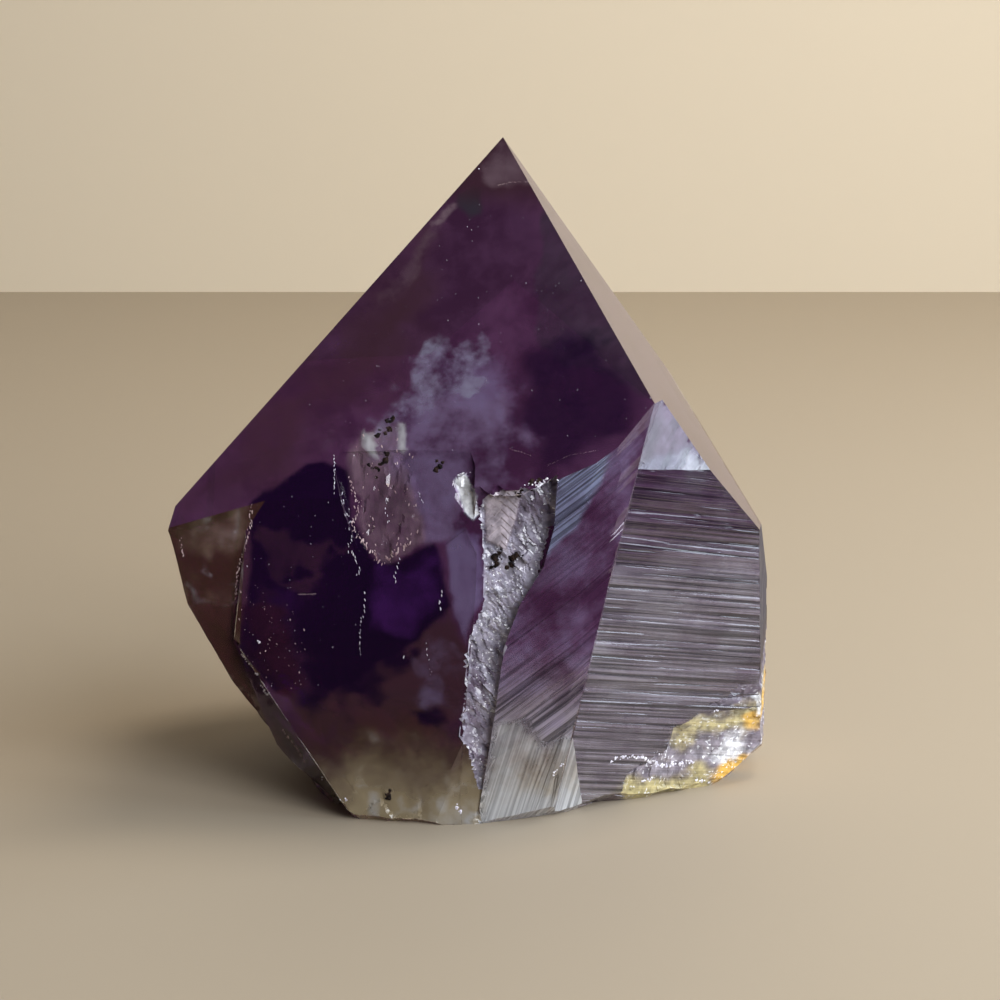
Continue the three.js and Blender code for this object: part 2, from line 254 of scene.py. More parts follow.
# The shoulder and the two flanks on the right
SHOULDER_TOP = Outline(
    ((-35.7, 35.2), (-27.6, 37.6), (-27.6, 33.1), (-31.2, 31.2), (-34.1, 32.2)), soft=4.0
)
SMUDGE = Outline(((-33.6, 31.7), (-32.5, 31.4), (-31.6, 29.0), (-32.3, 28.5), (-33.2, 30.0)), soft=0.9)
# Painted reflection: the blue-grey sky mirrored at the top of the blade
BLADE_GLARE = Outline(
    ((8.4, 42.3), (10.5, 43.4), (14.6, 45.0), (13.6, 41.6), (12.3, 38.8), (10.6, 35.8), (8.6, 34.1),
     (5.6, 31.0), (7.3, 34.1), (8.2, 37.4)),
    soft=0.9, wander=0.3,
)
BLADE = Outline(
    ((8.4, 41.6), (10.5, 43.2), (14.8, 45.4), (19.9, 51.5), (19.6, 49.0), (17.6, 42.0), (16.8, 36.0),
     (16.2, 31.0), (13.6, 24.5), (13.0, 14.0), (11.6, 0.5), (11.0, -1.0), (-0.6, -1.0), (0.4, 8.0),
     (1.9, 18.0), (2.8, 23.0), (4.5, 27.4), (7.3, 32.3), (8.1, 36.0)),
    soft=0.6,
)
BLADE_FAN = Outline(
    ((1.6, 12.4), (4.3, 12.9), (7.3, 9.4), (9.6, 10.6), (13.0, 9.4), (12.0, 1.0), (4.4, 0.0), (-0.4, 0.0)),
    soft=2.6, wander=0.0,
)
FLANK_VIOLET = Outline(
    ((17.0, 39.0), (24.5, 38.5), (26.5, 31.0), (23.5, 24.0), (18.5, 26.0), (15.5, 33.0)), soft=7.0, weight=0.6
)
# Painted highlight: a bright band of reflected window light along the small facet's foot
FACET_GLARE = Outline(
    ((16.4, 42.4), (20.6, 43.4), (24.2, 43.3), (26.6, 42.4), (27.6, 39.6)), soft=0.9, wander=0.4
)

# Clouds and marks under the polished front
VEIL = Outline(
    ((-6.9, 54.6), (-5.9, 56.2), (-4.1, 56.5), (-2.5, 55.4), (-0.6, 56.0), (0.9, 54.5), (0.4, 52.7),
     (-1.5, 52.0), (-2.4, 50.5), (-5.0, 49.8), (-7.3, 49.9), (-8.8, 51.3), (-8.1, 53.0)),
    soft=1.2,
)
WISPS = (
    Outline(
        ((-9.9, 50.7), (-6.4, 51.0), (-5.0, 49.6), (-6.8, 47.6), (-9.6, 46.9), (-12.9, 46.2), (-11.5, 48.5)),
        soft=3.0, weight=0.75,
    ),
    Outline(
        ((-20.0, 45.9), (-17.9, 48.1), (-15.5, 48.4), (-14.1, 46.8), (-16.2, 44.8), (-18.7, 44.1)),
        soft=2.4, weight=0.22,
    ),
)
FRONT_HAZE = Outline(
    ((-12.6, 45.4), (-8.6, 50.5), (-5.0, 54.4), (1.2, 54.6), (4.4, 50.9), (4.7, 45.7), (4.6, 41.0),
     (-1.5, 38.4), (-9.6, 40.2)),
    soft=5.5, weight=0.85,
)
FRONT_DEEP = Outline(
    ((4.1, 55.8), (8.2, 57.3), (13.6, 56.4), (19.8, 51.0), (16.7, 46.3), (11.1, 43.1), (6.6, 41.0),
     (4.3, 45.7), (4.9, 49.9)),
    soft=4.5,
)
DEEP_RISE = Outline(
    ((-27.1, 37.9), (-25.6, 39.5), (-23.0, 40.8), (-20.3, 42.6), (-18.3, 43.0), (-16.8, 42.4), (-15.4, 41.5),
     (-15.3, 35.3), (-17.6, 34.4), (-21.1, 35.7), (-24.7, 36.1)),
    soft=0.8, wander=0.25,
)
FRONT_TOP = Outline(
    ((-3.4, 69.6), (-0.4, 73.2), (2.0, 72.5), (6.8, 68.1), (6.3, 64.6), (2.0, 60.4), (-0.3, 56.0),
     (-6.3, 56.9), (-7.5, 62.3)),
    soft=5.0, weight=0.25,
)
FRONT_LEFT = Outline(
    ((-37.0, 36.0), (-18.2, 57.0), (-4.2, 71.0), (-6.3, 56.9), (-9.7, 50.5), (-17.9, 46.1),
     (-21.2, 41.7), (-28.2, 38.4)),
    soft=9.0,
)
FRONT_FOLD = Outline(
    ((6.9, 69.5), (6.3, 63.5), (6.2, 60.5), (6.5, 55.7), (9.6, 53.4), (14.1, 52.6), (19.6, 50.5),
     (19.1, 53.6), (13.7, 62.1), (8.3, 72.5)),
    soft=0.8, weight=0.5, wander=0.5,
)
TIP_LIGHT = Outline(
    ((2.4, 79.0), (3.7, 77.1), (5.8, 73.6), (3.4, 73.3), (1.0, 72.9), (-0.1, 73.8), (-0.2, 75.2)),
    soft=1.4, wander=0.5,
)
TIP_DARK = Outline(
    ((-2.8, 71.5), (-1.4, 72.9), (0.2, 72.5), (-0.4, 70.0), (-1.4, 69.2), (-2.8, 70.2)),
    soft=1.4, wander=0.6,
)
TIP_STREAK = Outline(
    ((-5.8, 68.8), (-4.6, 70.0), (-3.0, 71.0), (-2.7, 70.4), (-4.0, 69.3), (-5.0, 68.5)),
    soft=0.7, wander=0.3,
)
LEFT_BAND = Outline(
    ((-5.5, 68.5), (-8.8, 65.1), (-12.7, 60.8), (-12.9, 59.0), (-10.4, 60.4), (-7.8, 63.2), (-5.7, 66.3),
     (-4.4, 68.6)),
    soft=2.0, weight=0.6, wander=0.7,
)

# Rust, yellow stain and white crust of the right corner, with a painted highlight strip at its right edge
RUST_HIGH = Outline(
    ((31.3, 8.7), (33.0, 9.2), (34.6, 9.6), (36.6, 10.4), (36.9, 7.0), (33.6, 6.4), (31.5, 7.4)),
    soft=1.3, wander=0.8,
)
RUST_LOW = Outline(
    ((28.3, 1.2), (29.3, 3.0), (31.1, 3.7), (33.2, 4.0), (36.9, 4.6), (36.9, 0.5), (31.0, -1.0),
     (28.5, -0.6)),
    soft=1.3, wander=0.8,
)
YELLOW_HIGH = Outline(
    ((22.3, 8.3), (25.7, 9.3), (28.2, 9.6), (31.5, 11.0), (37.0, 12.5), (37.0, 7.5), (30.9, 7.0), (26.6, 6.2),
     (23.0, 6.9)),
    soft=3.5, weight=0.85,
)
YELLOW_LOW = Outline(
    ((16.8, 2.4), (20.6, 3.2), (24.1, 2.8), (26.9, 2.6), (28.9, 1.6), (28.3, -1.0), (21.0, -1.0),
     (15.5, 0.6)),
    soft=3.0, weight=0.9,
)
GREY_CRUST = Outline(
    ((21.0, 6.4), (27.0, 6.6), (31.5, 7.4), (36.9, 7.2), (36.9, 3.6), (30.0, 2.9), (24.0, 3.2), (20.0, 4.4)),
    soft=1.8, weight=0.55,
)
WHITE_CRUSTS_AND_GLARE = (
    Outline(((32.3, 11.9), (33.6, 11.7), (34.4, 9.8), (33.9, 8.9), (33.0, 8.9), (32.7, 10.0)), soft=0.9),
    # Painted highlight: a bright strip along the right-hand edge
    Outline(((35.2, 14.6), (36.9, 14.6), (36.9, 11.6), (35.6, 11.9)), soft=0.9),
    Outline(
        ((30.9, 7.3), (32.0, 6.4), (34.0, 5.6), (36.9, 5.6), (36.9, 4.3), (32.4, 3.7), (29.3, 2.9),
         (27.9, 2.8), (28.6, 3.9), (29.6, 5.2), (30.2, 6.3)),
        soft=1.6, weight=0.5,
    ),
)
CRUST_CORNER = Outline(
    ((18.5, 7.2), (26.0, 8.6), (31.0, 13.4), (37.5, 15.6), (37.5, -1.0), (16.0, -1.0), (16.5, 3.6)), soft=1.0
)
CRUST_CORE = Outline(
    ((21.5, 6.2), (23.5, 9.0), (30.0, 11.2), (33.0, 13.6), (38.5, 17.0), (38.5, -2.0), (15.5, -2.0),
     (16.5, 2.8)),
    soft=2.4,
)
FLECK_FIELD = Outline(((-24.0, 44.0), (2.0, 76.0), (24.0, 48.0), (6.0, 44.0)), soft=4.0)
LEFT_FIELD = Outline(((-28.6, 38.0), (-16.0, 40.0), (-14.0, 22.0), (-20.0, 14.0), (-28.0, 16.0)), soft=4.0)


# ---------------------------------------------------------------------------------------------
# Small helpers
# ---------------------------------------------------------------------------------------------


def link(name: str, mesh: bpy.types.Mesh) -> bpy.types.Object:
    """Puts a mesh into the scene as an object at the origin.

    Args:
        name: Name of the piece.
        mesh: Its mesh, already in the frame of the part.

    Returns:
        The new object.
    """
    piece = bpy.data.objects.new(name, mesh)
    bpy.context.scene.collection.objects.link(piece)
    return piece


def settle(piece: bpy.types.Object) -> bpy.types.Object:
    """Declares a finished piece as part of the stone and reports it."""
    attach(piece, BODY)
    log.info("%s: %d faces", piece.name, len(piece.data.polygons))
    return piece


def keep(mesh: bpy.types.Mesh, name: str, domain: str, values: object, vector: bool = False) -> None:
    """Keeps numbers on a mesh under a name.

    Args:
        mesh: The mesh.
        name: Name of the new attribute.
        domain: What each value belongs to, in Blender's words.
        values: The numbers, or the vectors.
        vector: Whether each value is a vector.
    """
    kind, key = ("FLOAT_VECTOR", "vector") if vector else ("FLOAT", "value")
    mesh.attributes.new(name, kind, domain).data.foreach_set(key, np.ravel(values))


def new_group(
    name: str, kind: str, inputs: dict[str, str], outputs: dict[str, str]
) -> bpy.types.NodeTree:
    """Starts a node group.

    Args:
        name: Its name.
        kind: Blender's name of the type of tree.
        inputs: Names of its inputs, each with the kind of value that it takes.
        outputs: The same for its outputs.

    Returns:
        The group, still empty.
    """
    group = bpy.data.node_groups.new(name, kind)
    for into, sockets in (("INPUT", inputs), ("OUTPUT", outputs)):
        for label, value in sockets.items():
            group.interface.new_socket(name=label, in_out=into, socket_type="NodeSocket" + value)
    return group


class Tree:
    """Short way to add and join nodes in a node tree."""

    def __init__(self, tree: bpy.types.NodeTree) -> None:
        """Keeps the tree and empties it."""
        self.tree = tree
        tree.nodes.clear()

    def add(self, kind: str, inputs: dict | None = None, **settings: object) -> bpy.types.Node:
        """Adds one node.

        Args:
            kind: Blender's name of the node type.
            inputs: Values or sockets for its inputs, by name or index.
            **settings: Properties of the node.

        Returns:
            The node.
        """
        node = self.tree.nodes.new(kind)
        for key, value in settings.items():
            setattr(node, key, value)
        for key, value in (inputs or {}).items():
            self.feed(node.inputs[key], value)
        return node

    def feed(self, socket: bpy.types.NodeSocket, value: object) -> None:
        """Sets an input to a value, or joins it to another node's output."""
        if isinstance(value, bpy.types.NodeSocket):
            self.tree.links.new(value, socket)
        else:
            socket.default_value = value

    def mask(self, name: str) -> bpy.types.NodeSocket:
        """Gives the value of one of the mesh's own attributes."""
        return self.add("ShaderNodeAttribute", attribute_name=name).outputs["Fac"]

    def maths(self, operation: str, *values: object) -> bpy.types.NodeSocket:
        """Gives the result of a sum on one to three values."""
        node = self.add("ShaderNodeMath", operation=operation)
        for socket, value in zip(node.inputs, values):
            self.feed(socket, value)
        return node.outputs[0]

    def scaled(self, vector: object, factor: object) -> bpy.types.NodeSocket:
        """Gives a vector or a colour times a number."""
        inputs = {0: vector, "Scale": factor}
        return self.add("ShaderNodeVectorMath", inputs, operation="SCALE").outputs[0]

    def span(
        self, value: object, low: float, high: float, to_low: float = 0.0, to_high: float = 1.0
    ) -> bpy.types.NodeSocket:
        """Maps a value from one range to another and keeps it inside."""
        node = self.add("ShaderNodeMapRange", interpolation_type="SMOOTHSTEP")
        for socket, number in zip(node.inputs, (value, low, high, to_low, to_high)):
            self.feed(socket, number)
        return node.outputs[0]

    def blend(self, share: object, under: object, over: object) -> bpy.types.NodeSocket:
        """Lays one colour over another.

        Args:
            share: How much of the upper colour shows, from 0 to 1.
            under: The lower colour.
            over: The upper colour.

        Returns:
            The mixed colour.
        """
        node = self.add("ShaderNodeMix", data_type="RGBA")
        self.feed(node.inputs["Factor"], share)
        for socket, value in ((node.inputs[6], under), (node.inputs[7], over)):
            self.feed(socket, value if isinstance(value, bpy.types.NodeSocket) else (*value, 1.0))
        return node.outputs[2]

    def grain(
        self, coordinates: object, scale: float, detail: float = 3.0, rough: float = 0.5
    ) -> bpy.types.NodeSocket:
        """Gives a cloudy noise between 0 and 1."""
        node = self.add(
            "ShaderNodeTexNoise",
            {"Vector": coordinates, "Scale": scale, "Detail": detail, "Roughness": rough},
        )
        return node.outputs["Fac"]


# ---------------------------------------------------------------------------------------------
# Fine mesh work
# ---------------------------------------------------------------------------------------------


class Zone(IntEnum):
    """What kind of surface a small face of the stone belongs to."""

    FRONT_POLISH = 0
    POLISH = 1
    VIOLET = 2
    CRUSHED = 3
    BLADE = 4
    FLANK = 5
    FACET = 6
    SHOULDER = 7
    BACK = 8
    UNDER = 9
    CRUST = 10


EDGE_LENGTHS: dict[Zone, float] = {
    Zone.FRONT_POLISH: 0.95,
    Zone.POLISH: 2.0,
    Zone.VIOLET: 0.62,
    Zone.CRUSHED: 0.31,
    Zone.BLADE: 1.2,
    Zone.FLANK: 1.2,
    Zone.FACET: 0.7,
    Zone.SHOULDER: 0.7,
    Zone.BACK: 1.4,
    Zone.UNDER: 2.0,
    Zone.CRUST: 0.5,
}


def ramp(values: np.ndarray, span: Point2) -> np.ndarray:
    """Rises evenly from 0 at the start of a span to 1 at its end, which may be the smaller value."""
    start, end = span
    return np.clip((values - start) / (end - start), 0, 1)


# How many swells, and how many bits of broken ground, a random table has along each side
CLOUD_TABLE = 32
BIT_TABLE = 24


def cloud(points: np.ndarray, size: float, seed: int) -> np.ndarray:
    """Smooth noise between -1 and 1.

    Args:
        points: Places in millimetres, one per row.
        size: Size of one swell in millimetres.
        seed: Which noise to take.

    Returns:
        A value for each point.
    """
    table = np.random.default_rng(seed).uniform(-1, 1, (CLOUD_TABLE,) * 3)
    spot = points / size
    cell = np.floor(spot).astype(int)
    part = spot - cell
    part = part * part * (3 - 2 * part)
    total = np.zeros(len(points))
    for corner in np.ndindex(2, 2, 2):
        step = np.array(corner)
        share = np.prod(np.where(step == 1, part, 1 - part), axis=1)
        index = (cell + step) % CLOUD_TABLE
        total += share * table[index[:, 0], index[:, 1], index[:, 2]]
    return total


def cells(points: np.ndarray, size: float, seed: int) -> tuple[tuple[np.ndarray, ...], np.ndarray]:
    """Parts space into random bits and finds the bit that holds each point.

    Args:
        points: Places in millimetres, one per row.
        size: Width of one bit in millimetres.
        seed: Which pattern to take.

    Returns:
        The bit's place in the table of bits, and the way from its middle to the point.
    """
    offsets = np.random.default_rng(seed).uniform(0, 1, (*(BIT_TABLE,) * 3, 3))
    spot = points / size
    cell = np.floor(spot).astype(int)
    nearest = np.full(len(points), FAR)
    found = np.zeros((len(points), 3), int)
    way = np.zeros((len(points), 3))
    for step in np.ndindex(3, 3, 3):
        index = cell + np.array(step) - 1
        wrapped = index % BIT_TABLE
        away = spot - index - offsets[tuple(wrapped.T)]
        gap = np.einsum("ij,ij->i", away, away)
        closer = gap < nearest
        nearest[closer] = gap[closer]
        found[closer] = wrapped[closer]
        way[closer] = away[closer]
    return tuple(found.T), way


def facets(points: np.ndarray, size: float, seed: int) -> np.ndarray:
    """Broken ground: flat bits that each lean their own way, between about -1 and 1 high."""
    key, way = cells(points, size, seed)
    rng = np.random.default_rng(seed + 100)
    leans = rng.normal(0, 1.0, (*(BIT_TABLE,) * 3, 3))
    lifts = rng.uniform(-0.4, 0.4, (BIT_TABLE,) * 3)
    return np.clip(np.einsum("ij,ij->i", way, leans[key]) + lifts[key], -1.2, 1.2)


def chips(points: np.ndarray, size: float, seed: int) -> np.ndarray:
    """Gives every bit of the broken ground its own value between 0 and 1."""
    key, _ = cells(points, size, seed)
    return np.random.default_rng(seed + 200).uniform(0, 1, (BIT_TABLE,) * 3)[key]


# How near to a corner an edge may be cut, in millimetres, and how often edges are halved at most
NEAREST_CUT = 0.004
MOST_ROUNDS = 200


@dataclass
class Shell:
    """A closed triangle mesh in millimetres whose triangles each carry a zone."""

    points: np.ndarray
    faces: np.ndarray
    zones: np.ndarray

    def edges(self, chosen: np.ndarray) -> tuple[np.ndarray, np.ndarray]:
        """Lists the edges of the chosen triangles once each, and the three edges of each triangle."""
        faces = self.faces[chosen]
        pairs = np.stack([faces, np.roll(faces, -1, axis=1)], axis=2).reshape(-1, 2)
        pairs = np.sort(pairs, axis=1)
        keys = pairs[:, 0].astype(np.int64) * (len(self.points) + 1) + pairs[:, 1]
        _, first, where = np.unique(keys, return_index=True, return_inverse=True)
        return pairs[first], where.reshape(-1, 3)

    def normals(self) -> tuple[np.ndarray, np.ndarray]:
        """Gives the direction of each triangle, and twice its area."""
        corner = self.points[self.faces]
        cross = np.cross(corner[:, 1] - corner[:, 0], corner[:, 2] - corner[:, 0])
        area = np.linalg.norm(cross, axis=1)
        return cross / np.maximum(area, TINY)[:, None], area

    def centres(self) -> np.ndarray:
        """Gives the middle of each triangle."""
        return self.points[self.faces].mean(axis=1)

    def vertex_normals(self) -> np.ndarray:
        """Gives the mean outward direction at each point."""
        normals, area = self.normals()
        total = np.zeros_like(self.points)
        for corner in range(3):
            np.add.at(total, self.faces[:, corner], normals * area[:, None])
        return total / np.maximum(np.linalg.norm(total, axis=1), TINY)[:, None]

    def touches(self, chosen: np.ndarray) -> np.ndarray:
        """Tells which points belong to any of the chosen triangles."""
        flags = np.zeros(len(self.points), bool)
        flags[self.faces[chosen].ravel()] = True
        return flags

    def carries(self, zone: Zone) -> np.ndarray:
        """Gives 1 for the points that belong to a zone and 0 for the rest."""
        return self.touches(self.zones == zone).astype(float)

    def ease(self, free: np.ndarray, rings: int) -> np.ndarray:
        """Gives 0 where points are held, rising over some rings of triangles to 1 where they are free."""
        pairs, _ = self.edges(np.ones(len(self.faces), bool))
        ends, others = np.concatenate([pairs, pairs[:, ::-1]]).T
        near = np.maximum(np.bincount(ends, minlength=len(free)), 1)
        share = free.astype(float)
        for _ in range(rings):
            share = np.minimum(share, np.bincount(ends, share[others], len(free)) / near)
        return share

    def split(
        self,
        chosen: np.ndarray,
        pairs: np.ndarray,
        where: np.ndarray,
        marked: np.ndarray,
        share: np.ndarray,
    ) -> None:
        """Puts a new point on each marked edge and cuts the triangles to match.

        Args:
            chosen: Which triangles may be cut. They hold both sides of every marked edge.
            pairs: End points of each edge.
            where: The three edges of every chosen triangle.
            marked: Which edges get a point.
            share: Place of the point along the edge, from 0 to 1.
        """
        fresh = np.full(len(pairs), -1)
        fresh[marked] = len(self.points) + np.arange(int(marked.sum()))
        start, end = self.points[pairs[marked, 0]], self.points[pairs[marked, 1]]
        self.points = np.vstack([self.points, start + (end - start) * share[marked][:, None]])
        # Turn each triangle so that its marked edges come first, then cut it by how many there are
        middle = fresh[where]
        code = (middle >= 0) @ np.array([1, 2, 4])
        turns = np.array([0, 0, 1, 0, 2, 2, 1, 0])[code]
        order = (np.arange(3) + turns[:, None]) % 3
        corner = np.take_along_axis(self.faces[chosen], order, axis=1)
        middle = np.take_along_axis(middle, order, axis=1)
        count = (middle >= 0).sum(axis=1)
        a, b, c = corner.T
        m, n, o = middle.T
        patterns = {
            0: ((a, b, c),),
            1: ((a, m, c), (m, b, c)),
            2: ((m, b, n), (a, m, n), (a, n, c)),
            3: ((a, m, o), (m, b, n), (n, c, o), (m, n, o)),
        }
        own = self.zones[chosen]
        faces, zones = [self.faces[~chosen]], [self.zones[~chosen]]
        for number, pattern in patterns.items():
            alike = count == number
            for triangle in pattern:
                faces.append(np.stack([column[alike] for column in triangle], axis=1))
                zones.append(own[alike])
        self.faces = np.concatenate(faces)
        self.zones = np.concatenate(zones)

    def slice(self, through: np.ndarray, normal: np.ndarray, chosen: np.ndarray) -> None:
        """Cuts the chosen triangles along a plane, without parting them.

        Args:
            through: A point of the plane.
            normal: Direction across the plane.
            chosen: Which triangles are cut.
        """
        height = (self.points - through) @ normal
        corner = height[self.faces]
        astride = (corner.min(axis=1) < 0) & (corner.max(axis=1) > 0)
        if not (astride & chosen).any():
            return
        pairs, where = self.edges(astride)
        first, second = height[pairs[:, 0]], height[pairs[:, 1]]
        marked = np.zeros(len(pairs), bool)
        marked[where[chosen[astride]].ravel()] = True
        marked &= (first * second < 0) & (np.minimum(abs(first), abs(second)) > NEAREST_CUT)
        with np.errstate(divide="ignore", invalid="ignore"):
            share = np.where(marked, first / (first - second), 0.5)
        if marked.any():
            self.split(astride, pairs, where, marked, share)

    def refine(self, longest: dict[Zone, float]) -> None:
        """Splits edges until none is longer than its zone allows.

        Args:
            longest: Longest edge for each zone, in millimetres.
        """
        table = np.array([longest[zone] for zone in Zone])
        for _ in range(MOST_ROUNDS):
            every = np.ones(len(self.faces), bool)
            pairs, where = self.edges(every)
            length = np.linalg.norm(self.points[pairs[:, 0]] - self.points[pairs[:, 1]], axis=1)
            limit = np.full(len(pairs), FAR)
            np.minimum.at(limit, where.ravel(), np.repeat(table[self.zones], 3))
            top = where[np.arange(len(where)), length[where].argmax(axis=1)]
            marked = (np.bincount(top, minlength=len(pairs)) == 2) & (length > limit)
            if not marked.any():
                return
            self.split(every, pairs, where, marked, np.full(len(pairs), 0.5))


# A ledge comes and goes along its length: how soon this repeats in millimetres, and at how many spots
FADE_REPEAT = 80.0
FADE_SPOTS = 11


@dataclass(frozen=True)
class GrowthLines:
    """Fine ledges that run side by side over one flank, as growing crystals leave them.

    The fall is how far the lines sink to the right within the flank, in degrees. Each ledge ends in a
    narrow riser that faces up the flank.
    """

    zone: Zone
    azimuth: float
    tilt: float
    fall: float
    spacing: float
    depth: float
    reach: float
    riser: float = 0.11
    jitter: float = 1.0
    seed: int = 1
    patch: Outline | None = None
    outside: Outline | None = None
    lowest: float = -1.0
    highest: float = 99.0

    def axes(self) -> tuple[np.ndarray, np.ndarray, np.ndarray]:
        """Gives the flank's outward direction, the lines' direction and the one across them."""
        out = StoneFace(self.azimuth, self.tilt, (0, 0, 0)).normal
        turn = math.radians(self.azimuth)
        level = np.array([math.cos(turn), math.sin(turn), 0.0])
        down = np.cross(level, out)
        lean = math.radians(self.fall)
        along = math.cos(lean) * level + math.sin(lean) * down
        across = -math.sin(lean) * level + math.cos(lean) * down
        return out, along, across

    def lines(self, points: np.ndarray) -> list[tuple[np.ndarray, np.ndarray, float]]:
        """Lays the ledges over the given points.

        Returns:
            For each ledge a point on it, the direction across it and its depth.
        """
        _, along, across = self.axes()
        rng = np.random.default_rng(self.seed)
        span = points @ across
        centre = points.mean(axis=0)
        place, laid = span.min() + 0.3, []
        while place < span.max():
            lean = math.radians(rng.normal(0, self.jitter))
            cut = math.cos(lean) * across + math.sin(lean) * along
            start = centre + across * (place - centre @ across)
            laid.append((start, cut, self.depth * rng.uniform(0.25, 1.0) ** 1.5))
            place += self.spacing * rng.uniform(0.35, 1.9)
        return laid

    def strength(self, points: np.ndarray) -> np.ndarray:
        """Gives how much of the lines each point carries."""
        share = np.ones(len(points))
        if self.patch:
            share *= self.patch.cover(points[:, 0], points[:, 2])
        if self.outside:
            share *= 1 - self.outside.cover(points[:, 0], points[:, 2])
        return share * np.clip(0.75 + 0.9 * cloud(points, 9.0, self.seed + 50), 0.2, 1.3)

    def cut(self, shell: Shell) -> list[tuple[np.ndarray, np.ndarray, float]]:
        """Cuts the edges of every ledge into the shell and returns the ledges."""
        flank = shell.touches(shell.zones == self.zone)
        if self.patch:
            flank &= self.patch.cover(shell.points[:, 0], shell.points[:, 2]) > 0.02
        if not flank.any():
            return []
        laid = self.lines(shell.points[flank])
        for start, across, _ in laid:
            for shift in (0.0, self.riser):
                height = shell.centres()[:, 2]
                chosen = (height > self.lowest) & (height < self.highest)
                chosen &= shell.zones == self.zone
                shell.slice(start + across * shift, across, chosen)
        return laid

    def relief(self, points: np.ndarray, laid: list[tuple[np.ndarray, np.ndarray, float]]) -> np.ndarray:
        """Gives how deep the ledges sink each point, in millimetres."""
        _, along, _ = self.axes()
        sink = np.zeros(len(points))
        for number, (start, across, depth) in enumerate(laid):
            gap = (points - start) @ across
            run = (points - start) @ along
            rng = np.random.default_rng((self.seed, number))
            spots = np.linspace(0.0, FADE_REPEAT, FADE_SPOTS)
            fade = np.interp(run % FADE_REPEAT, spots, rng.uniform(-0.4, 1.4, FADE_SPOTS))
            fade = np.clip(fade, 0, 1)
            rise = np.clip(1 + gap / self.reach, 0, 1) * (gap <= 0)
            drop = np.clip(1 - gap / self.riser, 0, 1) * (gap > 0)
            sink += depth * fade * np.maximum(rise, drop)
        return sink * self.strength(points)


FLANK_LINES = GrowthLines(
    Zone.FLANK, azimuth=31, tilt=-7, fall=11.5, spacing=0.85, depth=0.16, reach=1.1, seed=11
)
BLADE_LINES = GrowthLines(
    Zone.BLADE, azimuth=16, tilt=-4.5, fall=-38, spacing=0.8, depth=0.13, reach=1.0, seed=12, jitter=2.5,
    outside=BLADE_FAN, lowest=9.0,
)
FAN_LINES = GrowthLines(
    Zone.BLADE, azimuth=16, tilt=-4.5, fall=-74, spacing=0.8, depth=0.17, reach=1.0, seed=13, jitter=5.0,
    patch=BLADE_FAN, highest=12.0,
)
BACK_LINES = GrowthLines(
    Zone.BACK, azimuth=180, tilt=0, fall=0, spacing=1.5, depth=0.16, reach=1.8, riser=0.16, seed=14,
    jitter=0.4,
)
CUT_LINES = (FLANK_LINES, BLADE_LINES, FAN_LINES)
ALL_LINES = (*CUT_LINES, BACK_LINES)


# ---------------------------------------------------------------------------------------------
# Broken ground
# ---------------------------------------------------------------------------------------------

Turn = tuple[Point3, Point3, Point3]

# How bits of broken stone lean or stretch, as the rows that their places are multiplied with
LEVEL: Turn = ((1.0, 0.0, 0.0), (0.0, 1.0, 0.0), (0.0, 0.0, 1.0))
UPRIGHT_STREAKS: Turn = ((1.0, 0.0, 0.0), (0.0, 1.0, 0.0), (0.0, 0.0, 0.3))
LEANING_FLAKES: Turn = ((1.0, 0.0, 0.0), (0.0, 1.0, 0.0), (0.5, 0.0, 0.45))
LONG_SHARDS: Turn = ((0.77, 0.0, 0.16), (0.0, 1.0, 0.0), (-0.64, 0.0, 0.19))


@dataclass(frozen=True)
class BrokenGround:
    """Flat bits of broken stone, with their depth and width in millimetres and the way they lean."""

    depth: float
    width: float
    seed: int
    lean: Turn = LEVEL

    def sink(self, points: np.ndarray) -> np.ndarray:
        """Gives how deep each point lies, in millimetres."""
        return self.depth * (1 + facets(points @ np.array(self.lean), self.width, self.seed))


COARSE_SCALES = BrokenGround(depth=0.22, width=1.3, seed=5, lean=LEANING_FLAKES)
FINE_SCALES = BrokenGround(depth=0.16, width=0.6, seed=6, lean=LEANING_FLAKES)
FOOT_CHIPS = BrokenGround(depth=0.13, width=3.4, seed=7)
COARSE_CRUST = BrokenGround(depth=0.11, width=2.4, seed=15)
FINE_CRUST = BrokenGround(depth=0.035, width=0.9, seed=16)
WINDOW_FLAKES = BrokenGround(depth=0.14, width=1.5, seed=9, lean=UPRIGHT_STREAKS)
CHIP_FACES = BrokenGround(depth=0.25, width=1.1, seed=17, lean=UPRIGHT_STREAKS)
SHOULDER_FACES = BrokenGround(depth=0.025, width=3.4, seed=10)
FACET_SHARDS = BrokenGround(depth=0.05, width=1.8, seed=18, lean=LONG_SHARDS)

# Depths of the swells on all natural faces, and the chevron steps of the strip's small facet
FINE_SWELL = 0.02
WIDE_SWELL = 0.05
STEP_MIDDLE = 2.1
STEP_SLOPE = 0.9
STEP_HEIGHT = 0.95
STEP_DEPTH = 0.12

# Height at which the front begins to be chipped, and where it is fully so
CHIPPED_FOOT = (7.0, 1.0)


